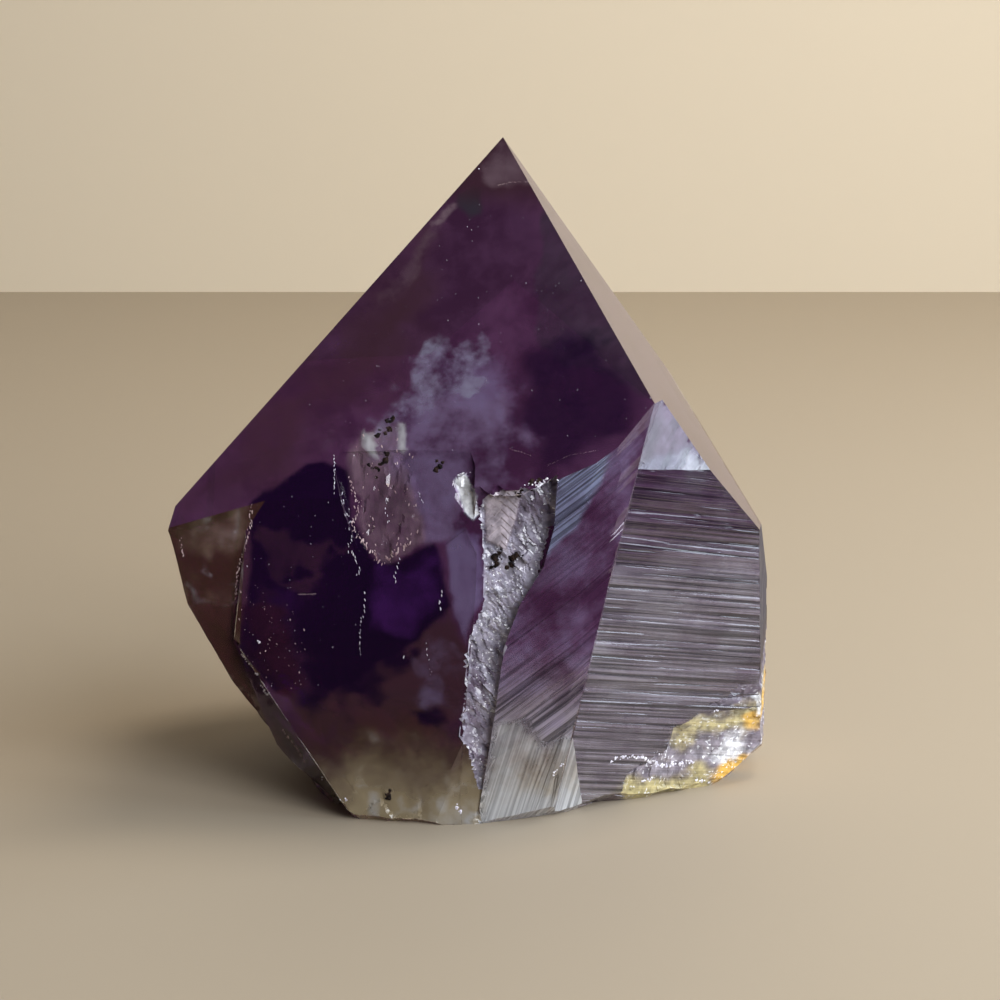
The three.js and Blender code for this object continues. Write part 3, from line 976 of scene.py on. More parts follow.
def broken_ground(shell: Shell) -> np.ndarray:
    """Gives how deep swells, chips and steps sink each point of the shell, in millimetres."""
    points = shell.points
    x, z = points[:, 0], points[:, 2]
    on = shell.carries
    calm = np.maximum(on(Zone.FLANK), on(Zone.BLADE))
    sink = FINE_SWELL + FINE_SWELL * (1 - 0.9 * calm) * cloud(points, size=0.9, seed=3)
    sink += WIDE_SWELL * (1 - 0.5 * calm) * (1 + cloud(points, size=3.5, seed=4))
    facet = BEIGE_FACET.cover(x, z)
    crushed = on(Zone.CRUSHED) * (1 - on(Zone.VIOLET)) * (1 - on(Zone.BLADE)) * (1 - 0.9 * facet)
    sink += crushed * (COARSE_SCALES.sink(points) + FINE_SCALES.sink(points))
    steps = (np.abs(x - STEP_MIDDLE) * STEP_SLOPE + z) / STEP_HEIGHT
    sink += on(Zone.CRUSHED) * facet * STEP_DEPTH * (steps - np.floor(steps))
    sink += on(Zone.VIOLET) * ramp(z, CHIPPED_FOOT) * FOOT_CHIPS.sink(points)
    sink += on(Zone.VIOLET) * WINDOW.cover(x, z) * WINDOW_FLAKES.sink(points)
    sink += on(Zone.VIOLET) * CHIP.cover(x, z) * CHIP_FACES.sink(points)
    crust = on(Zone.CRUST) * (1 - on(Zone.BACK))
    sink += crust * (COARSE_CRUST.sink(points) + FINE_CRUST.sink(points))
    sink += on(Zone.SHOULDER) * SHOULDER_FACES.sink(points)
    return sink + on(Zone.FACET) * FACET_SHARDS.sink(points)


# ---------------------------------------------------------------------------------------------
# Where the colours lie
# ---------------------------------------------------------------------------------------------

Shares = dict[str, np.ndarray | float]


@dataclass(frozen=True)
class Streaks:
    """Streaks of a face without ledges: how they lean, how close they run and where they start."""

    lean: Turn
    close: Point3
    start: float

    def place(self, at: np.ndarray) -> np.ndarray:
        """Gives the place of each point in the pattern of streaks."""
        return (at @ np.array(self.lean)) * np.array(self.close) + np.array([0.0, self.start, 0.0])


WINDOW_STREAKS = Streaks(LEVEL, (0.6, 0.0, 0.22), 40.0)
FOLD_STREAKS = Streaks(LONG_SHARDS, (0.5, 0.5, 0.5), 60.0)
FACET_STREAKS = Streaks(LONG_SHARDS, (1.1, 0.0, 0.9), 80.0)

# How close the streaks of the growth lines run along and across them, and how far apart two sets start
ALONG_LINES = 0.035
ACROSS_LINES = 2.2
LINES_APART = 9.0

SWAY_SEEDS = (41, 43)

# Spans in millimetres over which a colour comes in. The name tells whether they are heights, distances
# to the right or distances towards the back.
MILKY_FOOT = (14.0, 1.0)
WARM_FOOT = (17.0, 9.0)
# Height over which the painted sheen along the natural front's foot comes in
SHEEN_FOOT = (4.0, 1.0)
BLADE_FOOT = (5.0, 0.5)
BLADE_LINED = (26.0, 14.0)
BLADE_SILVER = (24.0, 11.0)
FLANK_SILVER = (37.0, 28.0)
BROWN_BACK = (20.0, 12.0)
VIOLET_TIP = (69.0, 74.0)
WARM_LEFT = (-24.5, -27.5)
CLEARER_LEFT = (-16.0, -20.0)
# Distance to the right over which that painted sheen comes in
SHEEN_RIGHT = (-10.0, -5.0)
DULL_EDGE = (29.0, 32.0)
BARE_EDGE = (33.0, 29.0)
UNSTAINED_BACK = (-14.0, -8.0)

# Where the grey cast of the right-hand polish begins, and where the painted shade of the right-hand edge ends
GREY_FROM = 5.0
SHADE_BACK_TO = 10.0

# How fast the milkiness falls off, and the luck above which a face of the strip or the crust gets a painted
# glint
MILK_FALL = 1.35
GLINT_SHEET_LUCK = 0.93
GLINT_LUCK = 0.955
CRUST_GLINT_LUCK = 0.94


@dataclass
class Skin:
    """The face corners of one zone, with the middle and the luck of the face that each belongs to."""

    zone: Zone
    at: np.ndarray
    middle: np.ndarray
    luck: np.ndarray

    def __post_init__(self) -> None:
        """Works out how far the edges of patches wander at each corner."""
        sway = [
            cloud(self.at, size=3.0, seed=seed) + 0.6 * cloud(self.at, size=1.1, seed=seed + 1)
            for seed in SWAY_SEEDS
        ]
        self.sway = np.stack(sway, axis=1)

    def patch(self, outline: Outline) -> np.ndarray:
        """Gives how far each corner is inside an outline with its wandering edge."""
        x, z = (self.at[:, (0, 2)] + outline.wander * self.sway).T
        return outline.cover(x, z)

    def any_of(self, *outlines: Outline) -> np.ndarray:
        """Gives how far each corner is inside any of several outlines."""
        return np.max([self.patch(outline) for outline in outlines], axis=0)

    def strongest(self, *marks: tuple[float, Outline]) -> np.ndarray:
        """Gives the strongest of several outlined marks, each taken with its own share."""
        return np.max([share * self.patch(outline) for share, outline in marks], axis=0)

    def mottle(self) -> np.ndarray:
        """Gives the milky clouds inside the stone, between -1 and 1."""
        return cloud(self.at * np.array([1.0, 1.0, 0.6]), size=1.6, seed=46)

    def veins(self) -> np.ndarray:
        """Gives the thin healed cracks, with 1 in their middle."""
        return np.clip(1 - 4 * np.abs(cloud(self.at, size=3.0, seed=47)), 0, 1)

    def milk(self) -> np.ndarray:
        """Gives how milky the stone is towards its foot."""
        return ramp(self.at[:, 2], MILKY_FOOT) ** MILK_FALL

    def flow(self) -> np.ndarray:
        """Gives each corner's place in the pattern of streaks, which runs along the lines of its zone."""
        flow = np.zeros((len(self.at), 3))
        for number, lines in enumerate(ALL_LINES):
            if self.zone is not lines.zone and (self.zone, lines) != (Zone.CRUST, FLANK_LINES):
                continue
            _, along, across = lines.axes()
            start = np.full(len(self.at), LINES_APART * number)
            place = (self.at @ along * ALONG_LINES, self.at @ across * ACROSS_LINES, start)
            carried = self.patch(lines.patch) > 0.5 if lines.patch else slice(None)
            flow[carried] = np.stack(place, axis=1)[carried]
        if self.zone in (Zone.FRONT_POLISH, Zone.VIOLET):
            streaked = self.patch(WINDOW) > 0
            flow[streaked] = WINDOW_STREAKS.place(self.at[streaked])
        if self.zone is Zone.FRONT_POLISH:
            folded = self.patch(FRONT_FOLD) > 0
            flow[folded] = FOLD_STREAKS.place(self.at[folded])
        return FACET_STREAKS.place(self.at) if self.zone is Zone.FACET else flow


def polished_front(skin: Skin) -> Shares:
    """Clouds, veils and marks under the polished front."""
    window, fold = skin.patch(WINDOW), skin.patch(FRONT_FOLD)
    tip_share = ramp(skin.at[:, 2], VIOLET_TIP)
    pale_marks = skin.strongest((0.5, TIP_LIGHT), (0.8, TIP_STREAK), (0.5, LEFT_BAND))
    return {
        "polish": 1.0,
        "lined": 0.4 * window + 0.3 * fold,
        "slate": np.maximum(fold, skin.patch(TIP_DARK)),
        "mauve": np.maximum(0.7 * skin.patch(FRONT_LEFT), np.minimum(tip_share, 0.8)),
        "deep": skin.strongest((0.68, FRONT_DEEP), (1.0, FRONT_TOP), (1.0, DEEP_RISE)),
        "pink": skin.strongest((0.7, WINDOW), (0.33, WINDOW_SIDE)) + pale_marks,
        "haze": 0.5 * skin.any_of(FRONT_HAZE, WINDOW_SIDE),
        "veil": 0.4 * skin.any_of(VEIL, *WISPS),
        "white": 0.8 * skin.any_of(*FLAKES),
    }


def polished_rest(skin: Skin) -> Shares:
    """The other polished faces, with a grey cast on the right one."""
    x, y, _ = skin.at.T
    return {"polish": 1.0, "slate": 0.35 * ((x > GREY_FROM) & (y < 0))}


def natural_front(skin: Skin) -> Shares:
    """Deep windows, warm clouds, painted glow and the milky foot of the natural front, with painted sky
    reflection on the chip and painted sheen along the foot on the right.
    """
    x, _, z = skin.at.T
    milk, mottle = skin.milk(), skin.mottle()
    window, chip, reddish = (skin.patch(outline) for outline in (WINDOW, CHIP, MAROON_EDGE))
    pale = skin.patch(MILKY_PATCH) * (1 - skin.patch(MILKY_HOLE))
    depth = skin.any_of(DEEP_CORE, DEEP_RISE, DEEP_LOW)
    return {
        "dull": 0.3 * milk,
        "lined": 0.4 * window,
        "mauve": np.maximum(skin.patch(LOWER_MAUVE), pale),
        "brown": np.maximum(0.75 * ramp(z, WARM_FOOT), 0.45 * ramp(x, WARM_LEFT)),
        "maroon": reddish,
        "deep": depth * (1 - 0.6 * reddish) * (1 - 0.62 * pale)
        + 0.8 * skin.patch(DARK_SPOT)
        + 0.2 * skin.patch(PANEL_STRIPE),
        "glow": skin.strongest((0.25, PAINTED_GLOW_LEFT), (0.45, PAINTED_GLOW_RIGHT), (0.35, PANEL)),
        "cloud": (1 + 0.3 * mottle) * (1 - 0.7 * ramp(x, CLEARER_LEFT)) * milk,
        "pink": skin.strongest((0.7, WINDOW), (0.33, WINDOW_SIDE)),
        "haze": 0.5 * skin.any_of(FRONT_HAZE, WINDOW_SIDE)
        + 0.6 * skin.patch(LOWER_HAZE)
        + 0.7 * skin.patch(PANEL),
        # The chip's blue-grey is painted sky reflection over its broken white quartz
        "sky": chip,
        "white": np.maximum(chip, skin.patch(CHIP_CORE))
        + 0.8 * skin.any_of(*FLAKES)
        + milk * (0.5 * np.clip(2 * mottle - 0.2, 0, 1) + 0.4 * skin.veins())
        # Painted sheen along the foot, towards the right
        + 0.4 * ramp(z, SHEEN_FOOT) * ramp(x, SHEEN_RIGHT),
    }


def crushed_strip(skin: Skin) -> Shares:
    """Scales of the crushed strip with painted glints on single faces and larger sheets, and the smooth small
    facet at its top.
    """
    flakes = skin.middle @ np.array(LEANING_FLAKES)
    shade = chips(flakes, size=0.7, seed=24)
    # Larger sheets of scales that get a painted glint
    sheets = chips(flakes, size=0.8, seed=29) > GLINT_SHEET_LUCK
    swell = cloud(skin.middle, size=3.0, seed=28)
    beige = skin.patch(BEIGE_FACET)
    return {
        "slate": 0.6,
        "frost": (1 - 0.8 * beige) * np.clip(0.55 + 0.45 * shade + 0.4 * swell, 0.4, 1),
        "beige": beige * (0.7 + 0.3 * shade),
        # Painted glints: bluish and white on the sheets, white on single faces
        "sky": 0.3 * (1 - beige) * sheets,
        "white": (1 - beige) * ((skin.luck > GLINT_LUCK - 0.06 * swell) + 0.35 * sheets),
    }


def blade(skin: Skin) -> Shares:
    """The violet blade with a painted blue sky reflection at the top and its pale fan and foot."""
    z = skin.at[:, 2]
    shine, fan, foot = skin.patch(BLADE_GLARE), skin.patch(BLADE_FAN), ramp(z, BLADE_FOOT)
    return {
        "lined": (0.22 + 0.78 * np.maximum(ramp(z, BLADE_LINED), shine)) * (1 - 0.6 * fan),
        "slate": 0.25,
        "cloud": 0.7 * skin.milk() + 0.4 * fan + foot,
        "silver": np.maximum(0.8 * ramp(z, BLADE_SILVER), 0.12) * (1 - 0.45 * fan) * (1 - foot),
        "haze": 0.2 * (1 - fan),
        # Painted reflection of the sky at the blade's top
        "sky": 0.75 * shine,
        "white": 0.7 * foot + 0.5 * fan,
    }


def flank(skin: Skin) -> Shares:
    """The grey striated flank, violet in its middle and stained at its foot."""
    return {
        "lined": 1.0,
        "slate": 0.6,
        "mauve": 0.5 * skin.patch(FLANK_VIOLET),
        "cloud": 0.35 * skin.milk(),
        "silver": 0.16 + 0.34 * ramp(skin.at[:, 2], FLANK_SILVER),
        "straw": 0.5 * skin.any_of(YELLOW_HIGH, YELLOW_LOW),
    }


def small_facet(skin: Skin) -> Shares:
    """The facet over the flank, painted blue-grey as the sky that it mirrors, with a painted bright band of
    reflected window light along its foot.
    """
    glare = skin.patch(FACET_GLARE)
    return {"lined": 0.45, "sky": 0.18 + 0.35 * glare, "white": 0.3 * glare}


def shoulder(skin: Skin) -> Shares:
    """The smoky broken shoulder, with milky clouds and healed cracks."""
    top = skin.patch(SHOULDER_TOP)
    return {
        "brown": 1.0,
        "cloud": 0.4 * skin.milk() + 0.1 + 0.25 * np.clip(skin.mottle(), 0, 1) + 0.25 * top,
        "pink": 0.2 * top,
        "white": 0.2 * skin.veins() + 0.35 * skin.patch(SMUDGE),
    }


def back(skin: Skin) -> Shares:
    """The natural faces behind, brown below, with a dull edge on the right that is greyed at its front as
    painted shade.
    """
    x, y, z = skin.at.T
    edge, low = ramp(x, DULL_EDGE), ramp(z, BROWN_BACK)
    return {
        "dull": edge,
        "lined": 0.25,
        # Painted shade on the front of the right-hand edge
        "slate": edge * (y < SHADE_BACK_TO),
        "brown": 0.9 * low,
        "silver": 0.4 * (1 - low) * np.maximum(ramp(x, BARE_EDGE), 0.2),
    }


def underside(skin: Skin) -> Shares:
    """The dull brown face it rests on."""
    return {"dull": 0.8, "brown": 0.9}


def crust(skin: Skin) -> Shares:
    """Grey crust with white patches, yellow stain, rust and a painted highlight strip, which thin out towards
    the back, and painted glints on single faces.
    """
    inner = np.clip(2.4 * skin.patch(CRUST_CORE) - 0.9, 0, 1)
    bays = np.clip(0.6 - 1.4 * cloud(skin.at, size=4.5, seed=45), 0, 1)
    stain = inner * (1 - ramp(skin.at[:, 1], UNSTAINED_BACK) * bays)
    return {
        "dull": 0.5,
        "lined": 0.3,
        "slate": 0.9,
        "cloud": 0.1,
        "silver": 0.28 + 0.3 * skin.patch(GREY_CRUST),
        "straw": 0.9 * stain * skin.any_of(YELLOW_HIGH, YELLOW_LOW),
        "rust": stain * skin.any_of(RUST_HIGH, RUST_LOW),
        "white": stain * skin.any_of(*WHITE_CRUSTS_AND_GLARE) + 0.5 * (skin.luck > CRUST_GLINT_LUCK),
    }


COLOURS_OF_ZONE: dict[Zone, Callable[[Skin], Shares]] = {
    Zone.FRONT_POLISH: polished_front,
    Zone.POLISH: polished_rest,
    Zone.VIOLET: natural_front,
    Zone.CRUSHED: crushed_strip,
    Zone.BLADE: blade,
    Zone.FLANK: flank,
    Zone.FACET: small_facet,
    Zone.SHOULDER: shoulder,
    Zone.BACK: back,
    Zone.UNDER: underside,
    Zone.CRUST: crust,
}


# ---------------------------------------------------------------------------------------------
# The stone's finish
# ---------------------------------------------------------------------------------------------


@dataclass(frozen=True)
class Layer:
    """One colour of the stone, the name of its mask, and how ragged the mask's edge is."""

    name: str
    colour: Colour
    ragged: float


# From the lowest to the uppermost
LAYERS = (
    Layer("slate", (0.080, 0.062, 0.090), 0.5),
    Layer("mauve", (0.108, 0.041, 0.062), 0.5),
    Layer("brown", (0.092, 0.040, 0.023), 0.6),
    Layer("maroon", (0.09, 0.018, 0.035), 1.4),
    Layer("deep", (0.015, 0.001, 0.032), 0.45),
    # Painted glow: light gathered inside the stone, laid as brighter violet
    Layer("glow", (0.15, 0.030, 0.28), 0.5),
    Layer("cloud", (0.64, 0.51, 0.31), 0.5),
    Layer("silver", (0.46, 0.42, 0.46), 0.4),
    Layer("pink", (0.38, 0.245, 0.30), 0.8),
    Layer("haze", (0.36, 0.27, 0.50), 1.0),
    Layer("veil", (0.50, 0.47, 0.66), 1.7),
    Layer("frost", (0.39, 0.365, 0.44), 0.3),
    Layer("beige", (0.44, 0.38, 0.42), 0.3),
    # Painted reflection of the blue sky and window light, laid as colour
    Layer("sky", (0.30, 0.34, 0.50), 0.5),
    Layer("straw", (0.44, 0.37, 0.17), 0.4),
    Layer("rust", (0.62, 0.36, 0.07), 0.7),
    # White inclusions, crust and milky clouds, and painted glints and highlights
    Layer("white", (0.92, 0.92, 0.94), 0.9),
)


@dataclass(frozen=True)
class Palette:
    """The stone's own violet, light and dark, and the colours that lie over it."""

    violet: Colour = (0.19, 0.070, 0.17)
    dusk: Colour = (0.10, 0.030, 0.088)
    layers: tuple[Layer, ...] = LAYERS


class Surface(Enum):
    """The two ways the stone's skin takes light."""

    CLEAR = 0
    CRUSHED = 1


def zone_group(palette: Palette) -> bpy.types.ShaderNodeTree:
    """Builds the shared look of the stone's surface once.

    Args:
        palette: Colours of the zones.

    Returns:
        A group that puts out the colour, the roughness and the height of the fine relief.
    """
    outputs = {"Colour": "Color", "Roughness": "Float", "Height": "Float"}
    group = new_group("quartz_zones", "ShaderNodeTree", {"Grit": "Float"}, outputs)
    tree = Tree(group)
    grit = tree.add("NodeGroupInput").outputs["Grit"]
    place = tree.add("ShaderNodeTexCoord").outputs["Object"]
    natural = tree.maths("SUBTRACT", 1.0, tree.mask("polish"))
    lined = tree.mask("lined")
    wisps = tree.grain(place, scale=170.0, detail=4.0, rough=0.6)
    flow = tree.add("ShaderNodeAttribute", attribute_name="flow").outputs["Vector"]
    lines = tree.grain(flow, scale=1.0, detail=2.0, rough=0.6)
    skin = tree.grain(place, scale=900.0, detail=2.0, rough=0.6)

    # The violet ground, then each zone's colour over it with a frayed edge
    colour = tree.blend(tree.span(wisps, 0.35, 0.65), palette.dusk, palette.violet)
    fray = tree.maths("MULTIPLY_ADD", wisps, 1.5, -0.9)
    fray = tree.maths("MULTIPLY_ADD", skin, 0.3, fray)
    for layer in palette.layers:
        amount = tree.mask(layer.name)
        gate = tree.span(amount, 0.0, 0.2, 0.0, layer.ragged)
        share = tree.span(tree.maths("MULTIPLY_ADD", fray, gate, amount), 0.05, 0.98)
        colour = tree.blend(share, colour, layer.colour)

    # Lighter and darker streaks along the growth lines, partly streaky colour and partly painted sheen of the
    # ledges, and specks where the stone is crushed
    streak_and_sheen = tree.span(lines, 0.34, 0.66, 0.35, 1.75)
    streak_and_sheen = tree.maths("MULTIPLY_ADD", tree.maths("SUBTRACT", streak_and_sheen, 1.0), lined, 1.0)
    speckle = tree.span(skin, 0.3, 0.7, -0.3, 0.3)
    speckle = tree.maths("MULTIPLY_ADD", speckle, grit, streak_and_sheen)
    colour = tree.scaled(colour, speckle)

    # Fine relief and a duller skin where the faces are natural
    height = tree.maths("MULTIPLY", lines, tree.maths("MULTIPLY", lined, natural))
    height = tree.maths("MULTIPLY_ADD", skin, tree.maths("MULTIPLY", grit, 0.3), height)
    roughness = tree.maths("MULTIPLY_ADD", natural, 0.07, 0.03)
    roughness = tree.maths("MULTIPLY_ADD", tree.mask("dull"), 0.5, roughness)
    roughness = tree.maths("MULTIPLY", roughness, tree.span(wisps, 0.3, 0.75, 0.8, 1.35))
    tree.add("NodeGroupOutput", {"Colour": colour, "Roughness": roughness, "Height": height})
    return group


@dataclass(frozen=True)
class QuartzFinish:
    """Violet quartz, either clear with dye in its depth or crushed white and closed to light."""

    name: str
    surface: Surface
    transmission: float
    grit: float
    relief: float
    refraction: float = 1.544
    absorption: Colour = (0.64, 0.34, 0.76)
    density: float = 100.0

    def build(self, zones: bpy.types.ShaderNodeTree) -> bpy.types.Material:
        """Makes the material round the shared zone colours."""
        material = bpy.data.materials.new(self.name)
        material.use_nodes = True
        tree = Tree(material.node_tree)
        look = tree.add("ShaderNodeGroup", {"Grit": self.grit}, node_tree=zones)
        bump = tree.add(
            "ShaderNodeBump", {"Height": look.outputs["Height"], "Distance": self.relief, "Strength": 1.0}
        )
        quartz = tree.add(
            "ShaderNodeBsdfPrincipled",
            {
                "Base Color": look.outputs["Colour"],
                "Roughness": look.outputs["Roughness"],
                "Normal": bump.outputs[0],
                "IOR": self.refraction,
                "Transmission Weight": self.transmission,
            },
        )
        out = tree.add("ShaderNodeOutputMaterial", {"Surface": quartz.outputs[0]})
        if self.surface is Surface.CLEAR:
            dye = tree.add(
                "ShaderNodeVolumeAbsorption",
                {"Color": (*self.absorption, 1.0), "Density": self.density},
            )
            tree.feed(out.inputs["Volume"], dye.outputs[0])
        return material


CLEAR_QUARTZ = QuartzFinish(
    "clear_quartz", Surface.CLEAR, transmission=0.62, grit=0.0, relief=0.15 * MM
)
CRUSHED_QUARTZ = QuartzFinish(
    "crushed_quartz", Surface.CRUSHED, transmission=0.0, grit=1.0, relief=0.3 * MM
)


# ---------------------------------------------------------------------------------------------
# The stone
# ---------------------------------------------------------------------------------------------

FAR_AHEAD = 90.0
LUCK_SEED = 25

# Borders of the zones on the plain solid, in millimetres
SHOULDER_EDGE = -26.5
FLANK_EDGE = (10.2, 0.19)
CRUST_BACK = 12.0
GROUND = 0.05

# How far a face looks ahead, to the left, down or to the right, from -1 to 1
AHEAD = -0.25
SHOULDER_LOOK = -0.35
DOWN = -0.9
SIDEWAYS = 0.85


@dataclass
class Stone:
    """The whole crystal as one closed mesh with fine natural relief."""

    name: str = "amethyst_crystal"
    palette: Palette = field(default_factory=Palette)
    finishes: tuple[QuartzFinish, ...] = (CLEAR_QUARTZ, CRUSHED_QUARTZ)
    skin: BVHTree | None = None

    def coarse(self) -> Shell:
        """Copies the solid as triangles and tells each one's zone."""
        work = bmesh.new()
        work.from_mesh(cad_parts[NODE].data)
        bmesh.ops.remove_doubles(work, verts=work.verts, dist=WELD)
        bmesh.ops.dissolve_limit(work, angle_limit=LEVEL_ANGLE, verts=work.verts, edges=work.edges)
        bmesh.ops.triangulate(work, faces=work.faces, ngon_method="BEAUTY")
        bmesh.ops.recalc_face_normals(work, faces=work.faces)
        work.verts.index_update()
        points = np.array([vertex.co[:] for vertex in work.verts]) / MM
        faces = np.array([[vertex.index for vertex in face.verts] for face in work.faces])
        work.free()
        shell = Shell(points, faces, np.zeros(len(faces), int))
        shell.zones = self.sort_faces(shell)
        return shell

    def sort_faces(self, shell: Shell) -> np.ndarray:
        """Tells the zone of every triangle of the plain solid."""
        centres = shell.centres()
        normals, _ = shell.normals()
        x, z = centres[:, 0], centres[:, 2]
        zones = np.full(len(centres), Zone.BACK)
        ahead = normals[:, 1] < AHEAD
        zones[ahead] = Zone.VIOLET
        zones[ahead & (x < SHOULDER_EDGE) & (normals[:, 0] > SHOULDER_LOOK)] = Zone.SHOULDER
        foot, slope = FLANK_EDGE
        zones[ahead & (x > foot + slope * z)] = Zone.FLANK
        zones[ahead & (BLADE.cover(x, z) > 0.5)] = Zone.BLADE
        zones[ahead & (CRUSHED_STRIP.cover(x, z) > 0.5)] = Zone.CRUSHED
        corner = (centres[:, 1] < CRUST_BACK) & (CRUST_CORNER.cover(x, z) > 0.5)
        zones[corner & np.isin(zones, (Zone.FLANK, Zone.BACK))] = Zone.CRUST
        zones[SMALL_FACE.holds(centres, normals)] = Zone.FACET
        zones[(z < GROUND) & (normals[:, 2] < DOWN)] = Zone.UNDER
        for face in POLISHED_REST + (POLISHED_RIGHT,):
            zones[face.holds(centres, normals)] = Zone.POLISH
        zones[POLISHED_FRONT.holds(centres, normals)] = Zone.FRONT_POLISH
        return zones

    def fit(self, shell: Shell, patch: Outline, inside: Zone, outside: Zone, swell: float) -> None:
        """Draws the ragged edge between two zones anew on the fine triangles.

        Args:
            shell: The refined shell.
            patch: Outline of the inner zone.
            inside: The zone in the patch.
            outside: The zone round it.
            swell: Width of the bays of its edge, in millimetres.
        """
        centres = shell.centres()
        within = patch.cover(centres[:, 0], centres[:, 2]) + 0.25 * cloud(centres, swell, seed=23) > 0.5
        ground = np.isin(shell.zones, (inside, outside))
        shell.zones[ground] = np.where(within, inside, outside)[ground]

    def bare_crust(self, shell: Shell) -> None:
        """Gives the crust a ragged border, beyond which the flank or the back lies bare."""
        middle = shell.centres()
        bare = CRUST_CORE.cover(middle[:, 0], middle[:, 2]) + 0.5 * cloud(middle, size=2.0, seed=27) < 0.5
        bare &= shell.zones == Zone.CRUST
        sideways = shell.normals()[0][:, 0] > SIDEWAYS
        shell.zones = np.where(bare, np.where(sideways, Zone.BACK, Zone.FLANK), shell.zones)

    def relieve(self, shell: Shell) -> None:
        """Cuts the growth lines, refines the shell and sinks its natural faces."""
        ledges = [(lines, lines.cut(shell)) for lines in CUT_LINES]
        shell.refine(EDGE_LENGTHS)
        self.fit(shell, CRUSHED_STRIP, inside=Zone.CRUSHED, outside=Zone.VIOLET, swell=1.2)
        self.bare_crust(shell)
        sink = broken_ground(shell)
        for lines, laid in ledges:
            sink += shell.carries(lines.zone) * lines.relief(shell.points, laid)
        flat = (Zone.FRONT_POLISH, Zone.POLISH, Zone.UNDER)
        free = shell.ease(~shell.touches(np.isin(shell.zones, flat)), rings=3)
        shell.points = shell.points - shell.vertex_normals() * (sink * free)[:, None]

    def mark(self, shell: Shell, mesh: bpy.types.Mesh) -> None:
        """Writes on each face corner how much of each colour and surface it has."""
        count = len(shell.faces)
        luck = np.random.default_rng(LUCK_SEED).uniform(0, 1, count)
        names = ("polish", "dull", "lined", *(layer.name for layer in self.palette.layers))
        shares = {name: np.zeros((count, 3), np.float32) for name in names}
        flow = np.zeros((count, 3, 3), np.float32)
        for zone, colours in COLOURS_OF_ZONE.items():
            chosen = shell.zones == zone
            corners = shell.points[shell.faces[chosen]]
            middle = np.repeat(corners.mean(axis=1), 3, axis=0)
            skin = Skin(zone, corners.reshape(-1, 3), middle, np.repeat(luck[chosen], 3))
            for name, share in colours(skin).items():
                laid = np.broadcast_to(np.clip(share, 0, 1), len(skin.at))
                shares[name][chosen] = laid.reshape(-1, 3)
            flow[chosen] = skin.flow().reshape(-1, 3, 3)
        for name, values in shares.items():
            keep(mesh, name, "CORNER", values)
        keep(mesh, "flow", "CORNER", flow, vector=True)

    def closed_skin(self, shell: Shell) -> np.ndarray:
        """Tells which triangles are so crushed or crusted that no light passes."""
        centres = shell.centres()
        chip = CHIP.cover(centres[:, 0], centres[:, 2]) + 0.2 * cloud(centres, size=0.8, seed=26) > 0.5
        closed = np.isin(shell.zones, (Zone.CRUSHED, Zone.UNDER, Zone.CRUST))
        return closed | (chip & (shell.zones == Zone.VIOLET))

    def build(self) -> bpy.types.Object:
        """Makes the crystal and dresses it."""
        shell = self.coarse()
        self.relieve(shell)
        mesh = bpy.data.meshes.new(self.name)
        mesh.from_pydata((shell.points * MM).tolist(), [], shell.faces.tolist())
        self.mark(shell, mesh)
        mesh.shade_smooth()
        mesh.set_sharp_from_angle(angle=SHARP_ANGLE)
        zones = zone_group(self.palette)
        for finish in self.finishes:
            mesh.materials.append(finish.build(zones))
        mesh.polygons.foreach_set("material_index", self.closed_skin(shell).astype(np.int32))
        piece = link(self.name, mesh)
        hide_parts(NODE)
        self.skin = BVHTree.FromPolygons(shell.points.tolist(), shell.faces.tolist())
        return settle(piece)

    def touch(self, x: float, z: float) -> tuple[Vector, Vector] | None:
        """Finds the skin behind a spot that is seen level from the front.

        Args:
            x: Distance to the right of the middle, in millimetres.
            z: Height in millimetres.

        Returns:
            The place and its outward direction, or None beside the stone.
        """
        place, normal, _, _ = self.skin.ray_cast(Vector((x, -FAR_AHEAD, z)), Vector((0, 1, 0)))
        return None if place is None else (place, normal)


# ---------------------------------------------------------------------------------------------
# Flecks, chips and specks
# ---------------------------------------------------------------------------------------------


@dataclass(frozen=True)
class GrainFinish:
    """Mottled mineral grain between two colours."""

    name: str
    dark: Colour
    light: Colour
    roughness: float
    shine: float = 0.5

    def build(self) -> bpy.types.Material:
        """Makes the material."""
        material = bpy.data.materials.new(self.name)
        material.use_nodes = True
        tree = Tree(material.node_tree)
        place = tree.add("ShaderNodeTexCoord").outputs["Object"]
        mottle = tree.span(tree.grain(place, scale=1400.0, detail=2.0), 0.35, 0.65)
        grain = tree.add(
            "ShaderNodeBsdfPrincipled",
            {
                "Base Color": tree.blend(mottle, self.dark, self.light),
                "Roughness": self.roughness,
                "Specular IOR Level": self.shine,
            },
        )
        tree.add("ShaderNodeOutputMaterial", {"Surface": grain.outputs[0]})
        return material


FLAKE = GrainFinish("bright_flake", dark=(0.62, 0.58, 0.68), light=(0.95, 0.93, 0.98), roughness=0.25)
ROSE_FLAKE = GrainFinish("rose_flake", dark=(0.26, 0.15, 0.17), light=(0.66, 0.50, 0.50), roughness=0.3)
IRON = GrainFinish(
    "iron_speck", dark=(0.006, 0.004, 0.004), light=(0.03, 0.016, 0.012), roughness=0.8, shine=0.15
)


